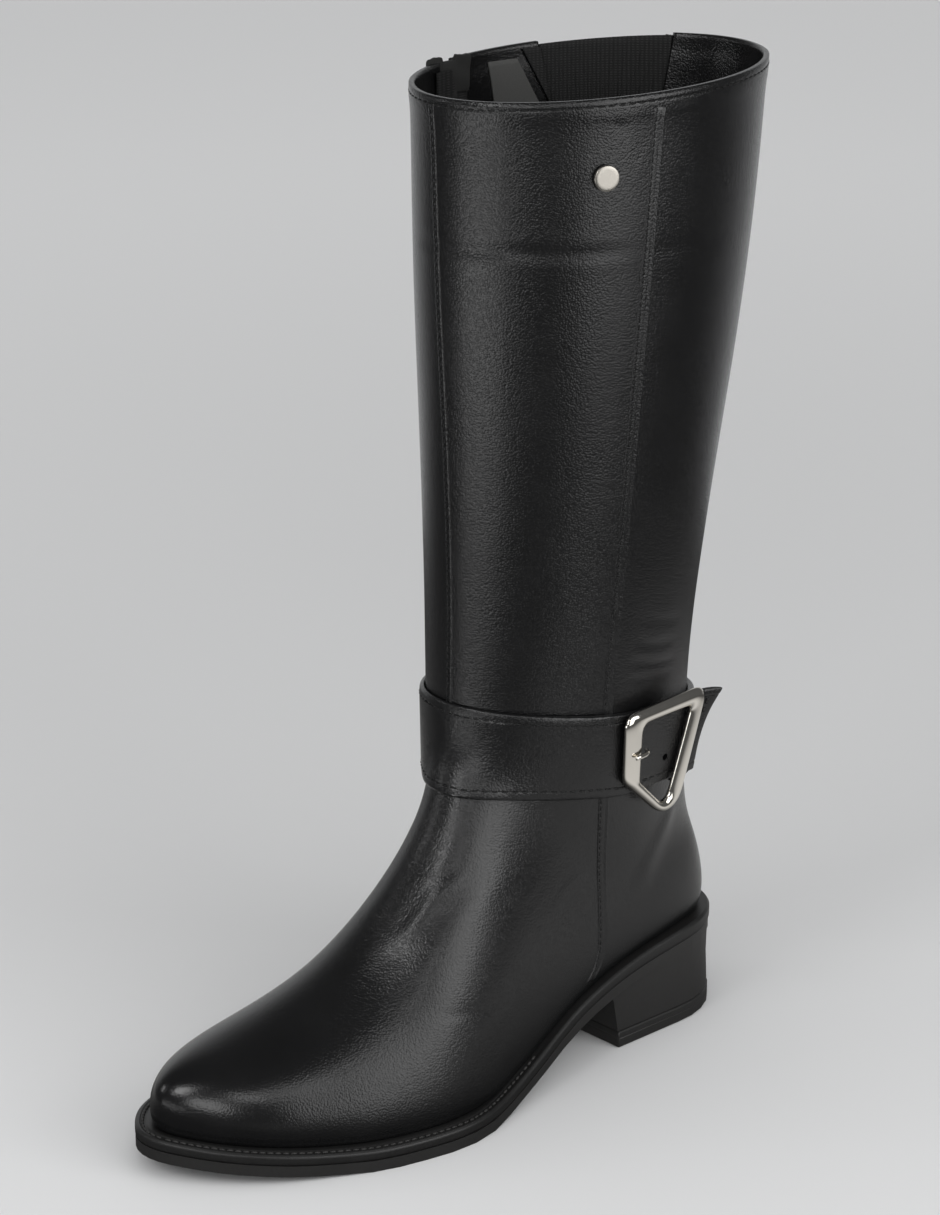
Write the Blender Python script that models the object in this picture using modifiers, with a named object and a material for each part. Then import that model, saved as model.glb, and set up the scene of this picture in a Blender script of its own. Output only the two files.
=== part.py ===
"""Tall black leather riding boot for the left foot, with a buckled ankle strap and a low heel.

Frame: the toe points to -Y, the outer (lateral) side of the foot to +X, and +Z is up.
The origin lies on the floor under the middle of the heel's top lift.
Every size and table below is in millimetres; meshes are made in metres.
"""

import math

import bmesh
import bpy
import numpy as np
from mathutils import Matrix, Vector

MM = 0.001

# Driving sizes
SOLE_TOE_Y = -237.2
SOLE_HEEL_Y = 34.0
BOOT_HEIGHT = 380.0
COLLAR_BACK_RISE = 0.04
WALL = 2.2
SEAT_GAP = 0.7
GAP = 0.3

# Plan of the sole, heel to toe: centre line and half width at each station
SOLE_PLAN = (
    # y, centre, half_width
    (SOLE_HEEL_Y, 0.0, 0.0),
    (31.4, 0.0, 11.6),
    (24.5, 0.2, 21.0),
    (12.5, 0.2, 28.2),
    (-4.0, 0.1, 31.0),
    (-28.0, 1.0, 31.2),
    (-60.0, 5.0, 31.0),
    (-84.0, 8.0, 33.2),
    (-108.0, 9.2, 38.2),
    (-126.0, 8.8, 44.2),
    (-146.0, 5.6, 47.2),
    (-168.0, 1.4, 46.6),
    (-186.0, -2.6, 43.0),
    (-204.0, -5.0, 36.8),
    (-220.0, -6.6, 26.5),
    (-231.0, -7.6, 14.6),
    (SOLE_TOE_Y, -8.0, 0.0),
)

# Side view of the sole: underside, the line between outsole and welt, and the welt's top
SOLE_SIDE = (
    # y, bottom, seam, top
    (SOLE_HEEL_Y, 31.6, 35.6, 41.2),
    (5.0, 30.4, 34.8, 40.4),
    (-18.0, 27.6, 32.0, 37.4),
    (-40.0, 23.2, 28.2, 33.2),
    (-60.0, 18.2, 22.8, 27.6),
    (-76.0, 12.4, 16.6, 21.4),
    (-92.0, 6.4, 10.4, 15.0),
    (-106.0, 2.4, 6.2, 10.6),
    (-110.0, 0.6, 5.4, 9.8),
    (-124.0, 0.0, 4.4, 8.7),
    (-168.0, 0.0, 4.4, 8.6),
    (-190.0, 1.4, 5.8, 10.0),
    (-214.0, 4.4, 8.8, 13.0),
    (SOLE_TOE_Y, 7.8, 12.2, 16.4),
)

# Top line of the foot, heel to toe: the height of the ridge and how square the section is
FOOT_TOE_Y = -232.4
FOOT_HEEL_Y = 31.4
FOOT_RIDGE = (
    # y, ridge, squareness
    (FOOT_HEEL_Y, 50.0, 2.4),
    (29.8, 60.0, 2.3),
    (26.0, 70.0, 2.3),
    (18.5, 84.0, 2.3),
    (3.0, 99.0, 2.2),
    (-40.0, 118.0, 2.2),
    (-80.0, 126.0, 2.0),
    (-104.0, 121.0, 1.9),
    (-116.0, 104.0, 1.9),
    (-130.0, 86.0, 1.9),
    (-148.0, 67.0, 1.9),
    (-172.0, 52.5, 2.0),
    (-198.0, 44.0, 2.15),
    (-216.0, 39.8, 2.2),
    (-226.0, 36.0, 2.2),
    (-230.5, 32.0, 2.2),
    (FOOT_TOE_Y, 26.0, 2.2),
)

# How far the upper stands in from the sole's edge, as a share of the sole's half width
FOOT_INSET = (
    # y, share
    (FOOT_HEEL_Y, 0.925),
    (-30.0, 0.925),
    (-70.0, 0.94),
    (-120.0, 0.915),
    (-160.0, 0.905),
    (FOOT_TOE_Y, 0.90),
)

# The leg, from inside the heel up to the collar
LEG = (
    # z, front, back, half_width
    (30.0, -62.0, 6.0, 21.0),
    (66.0, -82.0, 14.0, 27.0),
    (92.0, -93.0, 19.0, 33.2),
    (112.0, -97.4, 18.6, 36.6),
    (128.0, -98.4, 17.6, 38.8),
    (146.0, -98.4, 17.2, 40.4),
    (186.0, -97.4, 20.0, 44.0),
    (212.0, -97.2, 23.4, 46.6),
    (240.0, -97.6, 28.0, 48.8),
    (270.0, -98.4, 33.8, 51.0),
    (300.0, -99.6, 38.8, 52.6),
    (342.0, -100.0, 44.0, 54.4),
    (BOOT_HEIGHT + 20.0, -100.6, 48.4, 55.4),
)
FORM_BLEND = 9.0

# Rings of the upper, sole to collar: height over the welt's top, how closely the ring follows
# the sole's side view, how far its edge is tucked in, and how far a turned edge stands proud
RINGS = (
    # lift, follow, tuck, proud
    (SEAT_GAP, 1.00, 1.6, 0.0),
    (6.0, 1.00, 0.3, 0.0),
    (12.5, 0.98, 0.0, 0.0),
    (19.0, 0.95, 0.0, 0.0),
    (24.5, 0.91, 0.0, 0.0),
    (29.0, 0.87, 0.0, 0.0),
    (33.0, 0.82, 0.0, 0.0),
    (37.5, 0.77, 0.0, 0.0),
    (42.5, 0.71, 0.0, 0.0),
    (48.0, 0.64, 0.0, 0.0),
    (54.5, 0.56, 0.0, 0.0),
    (62.0, 0.47, 0.0, 0.0),
    (70.5, 0.38, 0.0, 0.0),
    (80.0, 0.28, 0.0, 0.0),
    (90.0, 0.18, 0.0, 0.0),
    (100.0, 0.09, 0.0, 0.0),
    (110.0, 0.02, 0.0, 0.0),
    (120.0, 0.00, 0.0, 0.0),
    (132.0, 0.00, 0.0, 0.0),
    (146.0, 0.00, 0.0, 0.0),
    (164.0, 0.00, 0.0, 0.0),
    (186.0, 0.00, 0.0, 0.0),
    (212.0, 0.00, 0.0, 0.0),
    (240.0, 0.00, 0.0, 0.0),
    (270.0, 0.00, 0.0, 0.0),
    (300.0, 0.00, 0.0, 0.0),
    (328.0, 0.00, 0.0, 0.0),
    (352.0, 0.00, 0.0, 0.0),
    (371.4, 0.00, 0.0, 0.0),
    (372.2, 0.00, 0.0, 0.5),
    (BOOT_HEIGHT, 0.00, 0.0, 0.5),
)
RING_POINTS = 48
FOOT_SPINE_Y = -100.0
FOOT_SPINE_HALF = 134.0
LEG_SPINE_Y = -38.0
LEG_SPINE_HALF = 62.0
SPINE_HALF_WIDTH = 45.0
SPINE_TURN_LIFT = 115.0

# Sole pieces
SOLE_STATIONS = 72
WELT_WIDTH = 14.0
OUTSOLE_INSET = 0.6
INSOLE_THICK = 3.0
INSOLE_GAP = 0.6

# Heel, from the top lift up into the outsole
LIFT_THICK = 7.0
LIFT_EDGE = 0.7
HEEL_ROUND_Y = -2.0
HEEL_SQUARE = 2.1
HEEL = (
    # z, breast, back, half_width
    (LIFT_THICK + GAP, -36.6, 32.4, 30.6),
    (20.0, -38.4, 32.0, 30.0),
    (33.0, -41.0, 32.4, 30.2),
)
HEEL_POINTS = 15
LIFT_BREAST_Y = -36.3
LIFT_BACK_Y = 32.8
LIFT_HALF_WIDTH = 31.0

# Ankle strap: a tilted band round the ankle, with a tail that leaves the leg at its outer side
STRAP_WIDTH = 34.0
STRAP_THICK = 2.2
STRAP_LIFT = 0.9
STRAP_LEVEL = 129.0
STRAP_LEVEL_Y = -53.0
STRAP_FALL = 0.134
STRAP_ROWS = 7
STRAP_COLUMNS = 26
STRAP_FIRST_ANGLE = -63.0
STRAP_LAST_ANGLE = 84.0
TAIL_TURN = 0.05
TAIL_FALL = 0.0
TAIL_STEPS = 9
TAIL_FLAT = 38.0
TAIL_LENGTH = 40.0
TAIL_POINT = 9.0
TAIL_FLARE = 4.0
BACK_STRAP_FIRST_ANGLE = -79.0
BACK_STRAP_LAST_ANGLE = -241.0

# Buckle: a cast frame in the plane of the strap's tail, with an uneven four-sided window
BUCKLE_OUTER = (
    # along, height, corner_radius
    (-6.2, 18.4, 5.0),
    (38.8, 20.6, 4.5),
    (27.2, -36.0, 8.5),
    (-3.8, -9.4, 6.0),
)
BUCKLE_WINDOW = (
    # along, height, corner_radius
    (3.6, 13.4, 3.6),
    (31.6, 14.2, 2.6),
    (22.0, -27.4, 3.6),
    (5.0, -11.4, 2.6),
)
BUCKLE_SECTION = (
    # share of the bar from its outer edge, height over the strap
    (0.10, 0.0),
    (0.00, 0.8),
    (0.00, 1.7),
    (0.18, 2.8),
    (0.50, 3.2),
    (0.82, 2.8),
    (1.00, 1.7),
    (1.00, 0.8),
    (0.90, 0.0),
)
BUCKLE_CORNER_STEPS = 4
BUCKLE_LIFT = 0.9
PRONG_RADIUS = 1.0
PRONG_RISE = 1.4
PRONG_PATH = (
    # along, over the strap
    (7.3, 0.9),
    (6.7, 3.2),
    (4.3, 4.5),
    (-2.4, 4.6),
)

# Stud below the collar, on the outer front panel
STUD_Y = -64.5
STUD_Z = 351.0
STUD_RADIUS = 4.8
STUD_LIFT = 0.35
STUD_POINTS = 20
STUD_PROFILE = (
    # share of the radius, height over the stud's foot
    (0.86, 0.0),
    (1.00, 0.5),
    (0.97, 1.4),
    (0.82, 2.1),
    (0.20, 2.4),
)

# Elastic gore in the collar, at the inner back of the leg
GORE_MIDDLE = (-39.8, 18.5)
GORE_ALONG = (0.503, 0.864)
GORE_TOP_HALF = 26.0
GORE_FOOT_HALF = 8.0
GORE_FOOT_Z = 282.0
GORE_TOP_Z = 380.0
GORE_THICK = 1.2
GORE_DEPTH = 0.5
GORE_FIRST_ANGLE = -92.0
GORE_LAST_ANGLE = -166.0
CUT_REACH = 30.0

# Zip on the inner side of the leg
ZIP_Y = -53.0
ZIP_FOOT_Z = 58.0
ZIP_SLOT_HALF = 3.6
ZIP_TAPE_HALF = 10.0
ZIP_TAPE_THICK = 0.9
ZIP_TAPE_OVER = 6.0
ZIP_CHAIN_HALF = 2.8
ZIP_CHAIN_OUT = -0.3
ZIP_STEPS = 30
SLIDER_Z = 360.0
SLIDER_LENGTH = 11.0
SLIDER_HALF_WIDTH = 4.4
SLIDER_THICK = 2.2
SLIDER_LUG = 1.3
SLIDER_LUG_LENGTH = 3.4
SLIDER_LUG_PLACE = 3.0
PIN_RADIUS = 0.7
PIN_OUT = 5.2
PULL_WIDTH = 7.0
PULL_NECK = 3.6
PULL_LENGTH = 27.0
PULL_THICK = 1.3
PULL_EYE = 1.9
PULL_HOLE = 1.05

# Raised seams on the leather
SEAM_WIDTH = 4.4
SEAM_THICK = 0.8
SEAM_LIFT = 0.7
SIDE_SEAM = (
    # z, y
    (32.0, -55.0),
    (38.0, -49.6),
    (48.0, -46.2),
    (62.0, -45.8),
    (90.0, -48.0),
    (112.0, -50.2),
    (150.0, -52.2),
    (210.0, -50.8),
    (280.0, -48.8),
    (340.0, -46.0),
    (BOOT_HEIGHT, -44.0),
)
FRONT_SEAM = (
    # z, x
    (150.0, 3.0),
    (240.0, 0.5),
    (320.0, -2.0),
    (BOOT_HEIGHT, -4.0),
)


# Tables as smooth curves


def curve_of(rows, column):
    """A monotone cubic through one column of a table, as a function of its first column."""
    table = np.array(sorted(row[:1] + row[column : column + 1] for row in rows), float)
    place, value = table[:, 0], table[:, 1]
    step = np.diff(place)
    slope = np.diff(value) / step
    tangent = np.concatenate([slope[:1], (slope[:-1] + slope[1:]) / 2, slope[-1:]])
    inner = slope[:-1] * slope[1:] <= 0
    tangent[1:-1][inner] = 0.0
    after, before = np.append(slope, slope[-1]), np.insert(slope, 0, slope[0])
    limit = 3.0 * np.minimum(np.abs(after), np.abs(before))
    tangent = np.clip(tangent, -limit, limit)

    def value_at(at):
        at = np.clip(np.asarray(at, float), place[0], place[-1])
        i = np.clip(np.searchsorted(place, at, side="right") - 1, 0, len(step) - 1)
        t = (at - place[i]) / step[i]
        h = step[i]
        return (
            value[i] * (2 * t**3 - 3 * t**2 + 1)
            + tangent[i] * h * (t**3 - 2 * t**2 + t)
            + value[i + 1] * (3 * t**2 - 2 * t**3)
            + tangent[i + 1] * h * (t**3 - t**2)
        )

    return value_at


plan_centre = curve_of(SOLE_PLAN, 1)
plan_half_squared = curve_of([(y, c, w * w) for y, c, w in SOLE_PLAN], 2)
sole_bottom = curve_of(SOLE_SIDE, 1)
sole_seam = curve_of(SOLE_SIDE, 2)
sole_top = curve_of(SOLE_SIDE, 3)
foot_ridge = curve_of(FOOT_RIDGE, 1)
foot_square = curve_of(FOOT_RIDGE, 2)
foot_inset = curve_of(FOOT_INSET, 1)
leg_front = curve_of(LEG, 1)
leg_back = curve_of(LEG, 2)
leg_half = curve_of(LEG, 3)
side_seam_y = curve_of(SIDE_SEAM, 1)
front_seam_x = curve_of(FRONT_SEAM, 1)


def plan_half(y):
    return np.sqrt(np.maximum(plan_half_squared(y), 0.0))


def foot_half(y):
    """Half width of the foot, whose toe and heel lie inside those of the sole."""
    share = (np.asarray(y, float) - FOOT_TOE_Y) / (FOOT_HEEL_Y - FOOT_TOE_Y)
    inside = (share > 0.0) & (share < 1.0)
    on_sole = SOLE_TOE_Y + np.clip(share, 0.0, 1.0) * (SOLE_HEEL_Y - SOLE_TOE_Y)
    return np.where(inside, plan_half(on_sole) * foot_inset(y), 0.0)


# The upper's own form: a foot and a leg, blended


def foot_form(x, y, z):
    half = np.maximum(foot_half(y), 1e-3)
    floor = sole_top(y)
    power = foot_square(y)
    beyond = np.maximum(y - FOOT_HEEL_Y, 0.0) + np.maximum(FOOT_TOE_Y - y, 0.0)
    across = (np.abs(x - plan_centre(y)) + beyond) / half
    up = np.maximum(z - floor, 0.0) / np.maximum(foot_ridge(y) - floor, 1.0)
    return (across**power + up**power) ** (1.0 / power)


def leg_form(x, y, z):
    front, back = leg_front(z), leg_back(z)
    along = (y - (front + back) / 2) / ((back - front) / 2)
    return np.sqrt(along**2 + (x / leg_half(z)) ** 2)


def upper_form(x, y, z):
    """Less than 1 inside the upper, 1 on its outer face."""
    foot = np.maximum(foot_form(x, y, z), 1e-3)
    leg = np.maximum(leg_form(x, y, z), 1e-3)
    return (foot**-FORM_BLEND + leg**-FORM_BLEND) ** (-1.0 / FORM_BLEND)


def outward(points):
    """Unit normals of the form at these points."""
    small = 0.2
    grads = []
    for axis in range(3):
        shift = np.zeros(3)
        shift[axis] = small
        grads.append(upper_form(*(points + shift).T) - upper_form(*(points - shift).T))
    grad = np.stack(grads, axis=-1)
    return grad / np.linalg.norm(grad, axis=1, keepdims=True)


def on_form(start, direction, height_of, offset):
    """Where rays from start meet the form, at the height that height_of gives, moved out by offset."""
    near, far = np.zeros(len(direction)), np.full(len(direction), 260.0)
    for _ in range(50):
        middle = (near + far) / 2
        flat = start + direction * middle[:, None]
        inside = upper_form(flat[:, 0], flat[:, 1], height_of(flat[:, 1])) < 1.0
        near, far = np.where(inside, middle, near), np.where(inside, far, middle)
    flat = start + direction * near[:, None]
    points = np.column_stack([flat, height_of(flat[:, 1])])
    return points + outward(points) * offset


def headings(degrees, half_width, half_length):
    """Directions round a ring: 0 degrees is the front, positive turns to the outer side."""
    angle = np.radians(degrees)
    spread = np.column_stack([np.sin(angle) * half_width, -np.cos(angle) * half_length])
    return spread / np.linalg.norm(spread, axis=1, keepdims=True)


def leg_ring(degrees, height_of, offset):
    """Points round the leg at these angles."""
    way = headings(np.asarray(degrees, float), SPINE_HALF_WIDTH, LEG_SPINE_HALF)
    return on_form(np.array([0.0, LEG_SPINE_Y]), way, height_of, offset)


def side_points(y, z, side, offset):
    """Points of the form seen straight from one side, +1 the outer and -1 the inner."""
    way = np.tile([float(side), 0.0], (len(y), 1))
    start = np.column_stack([np.zeros(len(y)), y])
    return on_form(start, way, lambda _: z, offset)


def upper_ring(lift, follow, tuck, proud):
    turn = min(lift / SPINE_TURN_LIFT, 1.0)
    turn = turn * turn * (3 - 2 * turn)
    spine_y = FOOT_SPINE_Y + (LEG_SPINE_Y - FOOT_SPINE_Y) * turn
    half_length = FOOT_SPINE_HALF + (LEG_SPINE_HALF - FOOT_SPINE_HALF) * turn
    degrees = np.arange(RING_POINTS) * 360.0 / RING_POINTS
    way = headings(degrees, SPINE_HALF_WIDTH, half_length)
    rise = COLLAR_BACK_RISE * max(lift - STRAP_LEVEL, 0.0) / (BOOT_HEIGHT - STRAP_LEVEL)
    return on_form(
        np.array([0.0, spine_y]),
        way,
        lambda y: lift + follow * sole_top(y) + rise * (y - LEG_SPINE_Y),
        proud - tuck,
    )


# Blender objects

boot = bpy.data.collections.new("tall_boot")
cutters = bpy.data.collections.new("cutters")


def clear_scene():
    for obj in list(bpy.data.objects):
        bpy.data.objects.remove(obj, do_unlink=True)
    for collection in (boot, cutters):
        bpy.context.scene.collection.children.link(collection)


def material(name, colour, roughness, metallic=0.0):
    made = bpy.data.materials.get(name)
    if made is None:
        made = bpy.data.materials.new(name)
        made.use_nodes = True
        shader = made.node_tree.nodes["Principled BSDF"]
        shader.inputs["Base Color"].default_value = (*colour, 1.0)
        shader.inputs["Roughness"].default_value = roughness
        shader.inputs["Metallic"].default_value = metallic
    return made


def leather():
    return material("black_leather", (0.012, 0.012, 0.013), 0.38)


def rubber():
    return material("black_rubber", (0.014, 0.013, 0.013), 0.5)


def metal():
    return material("bright_nickel", (0.80, 0.77, 0.71), 0.12, 1.0)


def cloth():
    return material("black_webbing", (0.010, 0.010, 0.010), 0.85)


def add_object(name, mesh, finish, collection=boot):
    obj = bpy.data.objects.new(name, mesh)
    collection.objects.link(obj)
    if finish:
        mesh.materials.append(finish)
    return obj


def mesh_of(name, points, faces):
    mesh = bpy.data.meshes.new(name)
    mesh.from_pydata([Vector(p) * MM for p in np.asarray(points, float)], [], faces)
    mesh.update()
    return mesh


def loft(name, sections, finish, round_sections, caps=False, closed_path=False):
    """Skins a row of sections that have the same number of points."""
    count = len(sections[0])
    points = np.concatenate(sections)
    faces = []
    rows = len(sections) if closed_path else len(sections) - 1
    for i in range(rows):
        a, b = i * count, ((i + 1) % len(sections)) * count
        for j in range(count if round_sections else count - 1):
            k = (j + 1) % count
            faces.append((a + j, a + k, b + k, b + j))
    if caps:
        faces.append(tuple(range(count))[::-1])
        faces.append(tuple(range(len(points) - count, len(points))))
    mesh = mesh_of(name, points, faces)
    face_out(mesh, closed=caps or closed_path)
    obj = add_object(name, mesh, finish)
    mesh.shade_smooth()
    mesh.set_sharp_from_angle(angle=math.radians(35))
    return obj


def face_out(mesh, closed):
    if not closed:
        return
    shape = bmesh.new()
    shape.from_mesh(mesh)
    bmesh.ops.recalc_face_normals(shape, faces=shape.faces)
    if shape.calc_volume(signed=True) < 0:
        bmesh.ops.reverse_faces(shape, faces=shape.faces)
    shape.to_mesh(mesh)
    shape.free()


def thicken(obj, thickness, offset):
    shell = obj.modifiers.new("wall", "SOLIDIFY")
    shell.thickness = thickness * MM
    shell.offset = offset
    shell.use_even_offset = True
    shell.use_rim = True
    return obj


def cut(obj, cutter, operation="DIFFERENCE"):
    boolean = obj.modifiers.new(cutter.name, "BOOLEAN")
    boolean.operation = operation
    boolean.object = cutter
    boolean.solver = "EXACT"


def prism(name, outline, middle, along, reach):
    """A cutter: an outline in an upright plane, given as (along, height), pushed out both ways."""
    along = Vector((along[0], along[1], 0.0)).normalized()
    through = along.cross(Vector((0.0, 0.0, 1.0)))
    origin = Vector((middle[0], middle[1], 0.0))
    shape = bmesh.new()
    corners = []
    for a, height in outline:
        corner = origin + along * a + Vector((0.0, 0.0, height)) - through * reach
        corners.append(shape.verts.new(corner * MM))
    base = shape.faces.new(corners)
    pushed = bmesh.ops.extrude_face_region(shape, geom=[base])
    moved = [v for v in pushed["geom"] if isinstance(v, bmesh.types.BMVert)]
    bmesh.ops.translate(shape, verts=moved, vec=through * reach * 2 * MM)
    bmesh.ops.recalc_face_normals(shape, faces=shape.faces)
    mesh = bpy.data.meshes.new(name)
    shape.to_mesh(mesh)
    shape.free()
    obj = add_object(name, mesh, None, cutters)
    obj.hide_render = True
    obj.display_type = "WIRE"
    return obj


# Sole


def plan_points(inset):
    """Points round the sole's plan moved in by inset: heel, outer side, toe and back."""
    angle = (np.arange(SOLE_STATIONS) + 0.5) * 2 * math.pi / SOLE_STATIONS
    middle = (SOLE_HEEL_Y + SOLE_TOE_Y) / 2
    y = middle + (SOLE_HEEL_Y - middle) * np.cos(angle)
    x = plan_centre(y) + np.sign(np.sin(angle)) * plan_half(y)
    edge = np.column_stack([x, y])
    run = np.roll(edge, -1, axis=0) - np.roll(edge, 1, axis=0)
    run /= np.linalg.norm(run, axis=1, keepdims=True)
    return edge + inset * np.column_stack([run[:, 1], -run[:, 0]])


def make_welt():
    """The strip round the boot that the upper is sewn to, with its outer edge rounded."""
    outer, soft, inner = plan_points(0.0), plan_points(0.9), plan_points(WELT_WIDTH)
    levels = (
        np.column_stack([outer, sole_seam(outer[:, 1])]),
        np.column_stack([outer, sole_top(outer[:, 1]) - 0.9]),
        np.column_stack([soft, sole_top(soft[:, 1])]),
        np.column_stack([inner, sole_top(inner[:, 1])]),
        np.column_stack([inner, sole_seam(inner[:, 1])]),
    )
    sections = list(np.stack(levels, axis=1))
    return loft("welt", sections, leather(), True, closed_path=True)


def heel_plan(breast, back, half_width):
    """A heel's outline: straight at the breast, round at the back."""
    turn = np.linspace(0.0, math.pi, HEEL_POINTS)
    x = half_width * np.sign(np.cos(turn)) * np.abs(np.cos(turn)) ** (2 / HEEL_SQUARE)
    y = HEEL_ROUND_Y + (back - HEEL_ROUND_Y) * np.sin(turn) ** (2 / HEEL_SQUARE)
    corner = half_width + 0.9
    x = np.concatenate([[corner], x, [-corner]])
    y = np.concatenate([[breast], y, [breast]])
    return x, y


def make_outsole():
    """A moulded unit: forepart, waist and heel block in one."""
    edge = plan_points(OUTSOLE_INSET)
    low = np.column_stack([edge, sole_bottom(edge[:, 1])])
    high = np.column_stack([edge, sole_seam(edge[:, 1]) - GAP])
    columns = []
    for i in range(SOLE_STATIONS // 2):
        j = SOLE_STATIONS - 1 - i
        columns.append(np.array([low[i], high[i], high[j], low[j]]))
    plate = loft("outsole", columns, rubber(), True, caps=True)
    sections = []
    for z, breast, back, half_width in HEEL:
        hx, hy = heel_plan(breast, back, half_width)
        inside_plate = (sole_bottom(hy) + sole_seam(hy)) / 2
        sections.append(np.column_stack([hx, hy, np.minimum(z, inside_plate)]))
    block = loft("heel_block_form", sections, rubber(), True, caps=True)
    cut(plate, as_helper(block), "UNION")
    return plate


def make_top_lift():
    x, y = heel_plan(LIFT_BREAST_Y, LIFT_BACK_Y, LIFT_HALF_WIDTH)
    narrow_x, narrow_y = heel_plan(LIFT_BREAST_Y + 0.4, LIFT_BACK_Y - 0.5, LIFT_HALF_WIDTH - 0.5)
    levels = (
        (narrow_x, narrow_y, 0.0),
        (x, y, LIFT_EDGE),
        (x, y, LIFT_THICK - LIFT_EDGE),
        (narrow_x, narrow_y, LIFT_THICK),
    )
    sections = [np.column_stack([lx, ly, np.full(len(lx), z)]) for lx, ly, z in levels]
    return loft("top_lift", sections, rubber(), True, caps=True)


# Upper


def make_upper():
    sections = [upper_ring(*row) for row in RINGS]
    upper = loft("upper", sections, leather(), True)
    return thicken(upper, WALL, -1.0)


def make_insole():
    """A board inside the upper, over the welt's inner lip."""
    seat = upper_ring(SEAT_GAP, 1.0, RINGS[0][2] + WALL + INSOLE_GAP, 0.0)
    half = RING_POINTS // 2
    columns = []
    for i in range(1, half):
        right, left = seat[i], seat[RING_POINTS - i]
        low_r, low_l = sole_top(right[1]) + GAP, sole_top(left[1]) + GAP
        columns.append(
            np.array(
                [
                    (right[0], right[1], low_r),
                    (right[0], right[1], low_r + INSOLE_THICK),
                    (left[0], left[1], low_l + INSOLE_THICK),
                    (left[0], left[1], low_l),
                ]
            )
        )
    return loft("insole", columns, material("insole_board", (0.03, 0.028, 0.026), 0.8), True, caps=True)


# Seams raised on the leather


def strip_on_side(name, levels, line_y, half_width, low, high, side, finish, across=1):
    """A strip on one side of the leg that follows a line y(z), between two distances from the form."""
    shares = np.linspace(-1.0, 1.0, across + 1)
    sections = []
    for z in levels:
        y = line_y(z) + shares * half_width
        heights = np.full(len(y), z)
        under = side_points(y, heights, side, low)
        over = side_points(y, heights, side, high)
        sections.append(np.concatenate([under, over[::-1]]))
    return loft(name, sections, finish, True, caps=True)


def strip_on_front(name, levels, line_x, half_width, low, high, finish):
    shares = np.array([-1.0, 1.0])
    sections = []
    for z in levels:
        x = line_x(z) + shares * half_width
        start = np.column_stack([x, np.full(len(x), LEG_SPINE_Y)])
        way = np.tile([0.0, -1.0], (len(x), 1))
        under = on_form(start, way, lambda y: np.full(len(y), z), low)
        over = on_form(start, way, lambda y: np.full(len(y), z), high)
        sections.append(np.concatenate([under, over[::-1]]))
    return loft(name, sections, finish, True, caps=True)


def strap_middle(y):
    return STRAP_LEVEL - STRAP_FALL * (y - STRAP_LEVEL_Y)


def make_seams():
    strap_top = strap_middle(STRAP_LEVEL_Y) + STRAP_WIDTH / 2
    strap_foot = strap_middle(STRAP_LEVEL_Y) - STRAP_WIDTH / 2
    half = SEAM_WIDTH / 2
    collar_foot = RINGS[-2][0] - 1.2
    outer = SEAM_LIFT + SEAM_THICK
    shaft = np.linspace(strap_top + 1.5, collar_foot, 16)
    strip_on_side("shaft_side_seam", shaft, side_seam_y, half, SEAM_LIFT, outer, 1, leather())
    vamp = np.linspace(SIDE_SEAM[0][0] + 1.0, strap_foot - 1.5, 13)
    strip_on_side("vamp_side_seam", vamp, side_seam_y, half, SEAM_LIFT, outer, 1, leather())
    front_foot = strap_middle(leg_front(strap_top)) + STRAP_WIDTH / 2
    front = np.linspace(front_foot + 2.0, collar_foot, 14)
    strip_on_front("shaft_front_seam", front, front_seam_x, half, SEAM_LIFT, outer, leather())


# Ankle strap and buckle


def strap_rises():
    return np.linspace(-STRAP_WIDTH / 2, STRAP_WIDTH / 2, STRAP_ROWS)


def strap_rows(degrees):
    """Rows along the strap, one for each height across it, at these angles round the leg."""
    rows = []
    for rise in strap_rises():
        ring = leg_ring(degrees, lambda y, rise=rise: strap_middle(y) + rise, STRAP_LIFT)
        rows.append(list(ring))
    return rows


def strap_from(name, rows):
    sections = [np.array(section) for section in zip(*rows)]
    strap = loft(name, sections, leather(), False)
    return thicken(strap, STRAP_THICK, growing_side(strap))


def growing_side(obj):
    """Which way Solidify grows an open sheet away from the leg."""
    face = obj.data.polygons[0]
    away = face.center - Vector((0.0, LEG_SPINE_Y * MM, face.center.z))
    return 1.0 if face.normal.dot(away) > 0 else -1.0


def make_back_strap():
    """The part of the strap behind the zip, which runs round the heel and under the buckle."""
    degrees = np.linspace(BACK_STRAP_FIRST_ANGLE, BACK_STRAP_LAST_ANGLE, STRAP_COLUMNS)
    return strap_from("back_strap", strap_rows(degrees))


def tail_plane():
    """Where the strap leaves the leg, and its plane's axes: along the tail, up across it, out."""
    low, middle, high = (row[0] for row in strap_rows([STRAP_LAST_ANGLE])[:: STRAP_ROWS // 2])
    along = np.array([-TAIL_TURN, 1.0, -TAIL_FALL])
    along /= np.linalg.norm(along)
    out = np.cross(along, high - low)
    out /= np.linalg.norm(out)
    return middle, along, np.cross(out, along), out


def make_ankle_strap():
    """The long strap: from the zip round the front, through the buckle, to its free tail."""
    rows = strap_rows(np.linspace(STRAP_FIRST_ANGLE, STRAP_LAST_ANGLE, STRAP_COLUMNS))
    start, along, up, out = tail_plane()
    for row, rise in zip(rows, strap_rises()):
        length = TAIL_LENGTH + TAIL_POINT * (rise / STRAP_WIDTH + 0.5) ** 2
        for step in range(1, TAIL_STEPS + 1):
            reach = length * step / TAIL_STEPS
            bent = max(reach - TAIL_FLAT, 0.0) / (TAIL_LENGTH + TAIL_POINT - TAIL_FLAT)
            flare = TAIL_FLARE * bent**2
            row.append(start + along * reach + up * rise + out * flare)
    return strap_from("ankle_strap", rows)


def buckle_axes():
    """The buckle's origin just over the strap's outer face, and its axes along, up and out."""
    start, along, up, out = tail_plane()
    return start + out * (STRAP_THICK + BUCKLE_LIFT), along, up, out


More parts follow.
